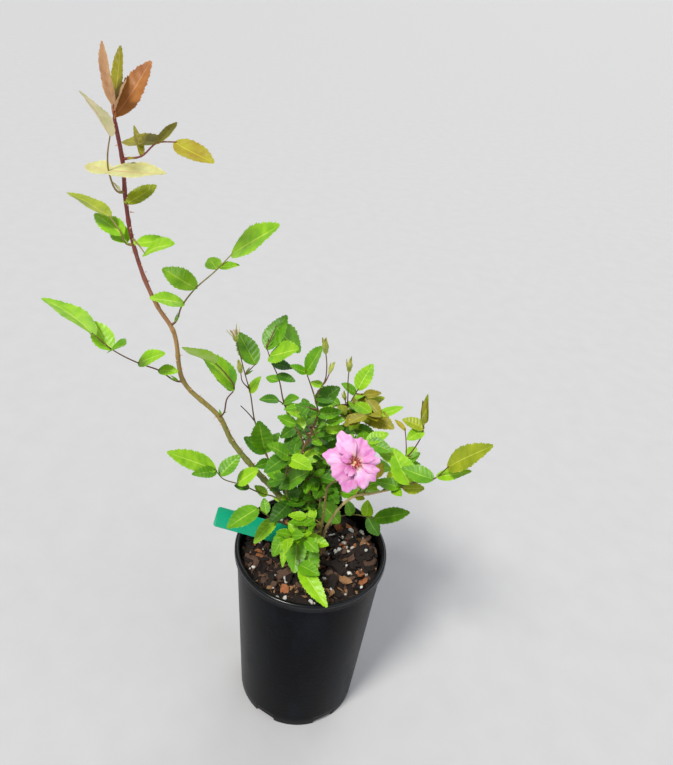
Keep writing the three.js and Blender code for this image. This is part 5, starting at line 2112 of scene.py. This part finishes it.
@dataclass
class Studio:
    """A plain pale floor, soft lights and the photograph's camera.

    The camera stands at place. dip and roll are its angles in degrees, focal its focal length in pixels of the
    photograph and tall the photograph's height in them. floor_half is half of the floor's side in metres.
    """

    place: tuple[float, float, float] = (3.58, -314.65, 471.97)
    dip: float = 32.83
    roll: float = 6.94
    focal: float = 674
    tall: float = 765
    floor_half: float = 60

    def build(self) -> None:
        """Builds the floor, the lights, the sky and the camera."""
        self.floor()
        self.lamp("key_light", (-330, -420, 1000), 14, 2.6, (1.0, 0.97, 0.91))
        self.lamp("fill_light", (900, -450, 700), 60, 0.55, (0.9, 0.95, 1.0))
        self.lamp("back_light", (300, 900, 900), 40, 0.6, (1.0, 1.0, 0.97))
        world = bpy.data.worlds.new("studio")
        world.use_nodes = True
        world.node_tree.nodes["Background"].inputs[0].default_value = (0.92, 0.95, 1.0, 1.0)
        world.node_tree.nodes["Background"].inputs[1].default_value = 0.5
        bpy.context.scene.world = world
        self.camera()
        view = bpy.context.scene.view_settings
        view.view_transform = "Standard"
        view.look = "None"

    def floor(self) -> None:
        """The floor: one wide square at the pot's foot."""
        mesh = bpy.data.meshes.new("floor")
        half = self.floor_half
        corners = [(-half, -half, 0), (half, -half, 0), (half, half, 0), (-half, half, 0)]
        mesh.from_pydata(corners, [], [(0, 1, 2, 3)])
        s = Shader("floor")
        colour = s.mix(s.noise(s.place(), 40.0, 4.0), (188, 188, 190), (196, 196, 198))
        mesh.materials.append(s.finish(Base_Color=colour, Roughness=0.8))
        made = bpy.data.objects.new("floor", mesh)
        bpy.context.collection.objects.link(made)

    def lamp(self, name: str, place: tuple[float, float, float], spread: float, strength: float,
             colour: tuple[float, float, float]) -> None:
        """A soft far light that points at the plant's middle.

        Args:
            name: Its name.
            place: Where it hangs, which gives its direction.
            spread: The angle in degrees over which it is spread, which softens its shadows.
            strength: Its strength.
            colour: Its colour.
        """
        light = bpy.data.lights.new(name, "SUN")
        light.angle = math.radians(spread)
        light.energy = strength
        light.color = colour
        made = bpy.data.objects.new(name, light)
        away = unit(np.array(place) - (0, 0, 200))
        side = unit(np.cross(UP, away))
        made.matrix_world = self.frame_of(side, np.cross(away, side), away, place)
        bpy.context.collection.objects.link(made)

    @staticmethod
    def frame_of(side: Array, up: Array, back: Array, place: Sequence[float]) -> Matrix:
        """The matrix of an object with these axes at a place in millimetres."""
        columns = np.column_stack([side, up, back, np.array(place) * MM])
        return Matrix([*columns.tolist(), (0, 0, 0, 1)])

    def camera(self) -> None:
        """The photograph's camera: its axis dips and rolls about the place that it was found to have."""
        dip, roll = math.radians(self.dip), math.radians(self.roll)
        ahead = np.array((0, math.cos(dip), -math.sin(dip)))
        level = np.array((1.0, 0, 0))
        rise = np.cross(level, ahead)
        side = math.cos(roll) * level + math.sin(roll) * rise
        up = math.cos(roll) * rise - math.sin(roll) * level
        lens = bpy.data.cameras.new("camera")
        lens.sensor_width = 36
        lens.sensor_fit = "AUTO"
        lens.lens = self.focal * lens.sensor_width / self.tall
        lens.clip_start = 0.01
        made = bpy.data.objects.new("camera", lens)
        made.matrix_world = self.frame_of(side, up, -ahead, self.place)
        bpy.context.collection.objects.link(made)
        bpy.context.scene.camera = made


FINISHES = {finish.name: finish for finish in (
    *LEAF_FINISHES,
    StemFinish("young_stem", (
        (120, (124, 126, 48)), (190, (122, 110, 50)), (230, (106, 68, 44)), (285, (124, 80, 50)),
        (310, (150, 138, 70)), (430, (156, 112, 70)),
    )),
    StemFinish("red_stem", ((120, (136, 66, 44)), (430, (130, 44, 52)))),
    StemFinish("cane_bark", (
        (135, (108, 118, 44)), (195, (126, 132, 56)), (240, (150, 128, 60)), (285, (186, 140, 84)),
        (308, (158, 96, 72)), (330, (128, 48, 50)), (430, (118, 38, 48)),
    )),
    StemFinish("shoot_bark", (
        (135, (104, 92, 44)), (185, (124, 112, 48)), (230, (116, 78, 44)), (300, (104, 56, 40)),
    )),
    StemFinish("branch_bark", ((135, (130, 116, 60)), (160, (190, 172, 112)), (230, (198, 174, 114)))),
    StemFinish("crown_bark", ((128, (92, 70, 42)), (145, (122, 100, 56))), 0.7, 0.9),
    StemFinish("prickle", ((0, (214, 160, 120)), (400, (226, 170, 150)))),
    LeafFinish("bud_green", (186, 196, 96), (146, 160, 62), 0.5),
    LeafFinish("bud_tip", (226, 200, 140), (206, 160, 120), 0.5),
    PetalFinish(),
    LeafFinish("filament", (222, 84, 96), (190, 50, 70), 0.5),
    LeafFinish("anther", (168, 66, 52), (96, 32, 36), 0.7),
    LeafFinish("style", (240, 204, 150), (214, 120, 104), 0.6),
    # earth is kept dark partly as its own damp colour and partly as painted shade in the gaps between the chips;
    # in each earth finish the second colour is painted shade for the hollows
    EarthFinish("earth", (30, 21, 17), (8, 6, 5), (124, 104, 84)),
    EarthFinish("dark_bark", (44, 34, 30), (22, 16, 14), (150, 132, 118), 0.0004, 1500),
    EarthFinish("bark", (106, 80, 66), (74, 54, 44), (188, 166, 150), 0.0004, 1500),
    EarthFinish("pale_bark", (172, 132, 92), (132, 94, 60), (210, 182, 146), 0.0004, 1500),
    EarthFinish("tan_bark", (184, 118, 76), (138, 80, 48), (222, 176, 130), 0.0004, 1500),
    EarthFinish("grain", (226, 224, 218), (180, 178, 172), (246, 246, 242), 0.0003),
    EarthFinish("fibre", (150, 112, 74), (92, 66, 44), (196, 160, 116), 0.0002),
    PlasticFinish("pot_plastic", (3, 4, 8), (66, 76, 92), 0.2, 0.32, 0.00018, 0.05, 0.6),
    PlasticFinish("label_plastic", (0, 158, 118), (90, 190, 160), 0.35, 0.32, 0.0001),
)}
LEAFAGES = (
    Leafage("cane", (*(name for name in FOLIAGE if name.startswith("cane_")), "low_left_leaf", "label_leaf"), 51),
    Leafage("left", ("left_foliage", "tall_foliage", "core_left_foliage"), 52),
    Leafage("right", ("centre_foliage", "bud_foliage", "right_foliage", "bloom_spray", "front_foliage",
                      "core_right_foliage", "low_right_leaf"), 53),
    Leafage("back", ("back_left_foliage", "back_right_foliage", "back_low_foliage"), 54),
    Leafage("fine", tuple(sorted({name for infill in INFILLS for name in infill.sprays})), 55, INFILLS),
)


def main() -> None:
    """Builds the sub-assemblies in order; each piece logs its points and faces as it is made."""
    for part in (Studio(), Pot(), Mix(), PlantLabel(), Wood(), *LEAFAGES, Ends(), Bloom()):
        part.build()


if __name__ == "__main__":
    logging.basicConfig(level=logging.INFO, format="%(message)s")
    main()
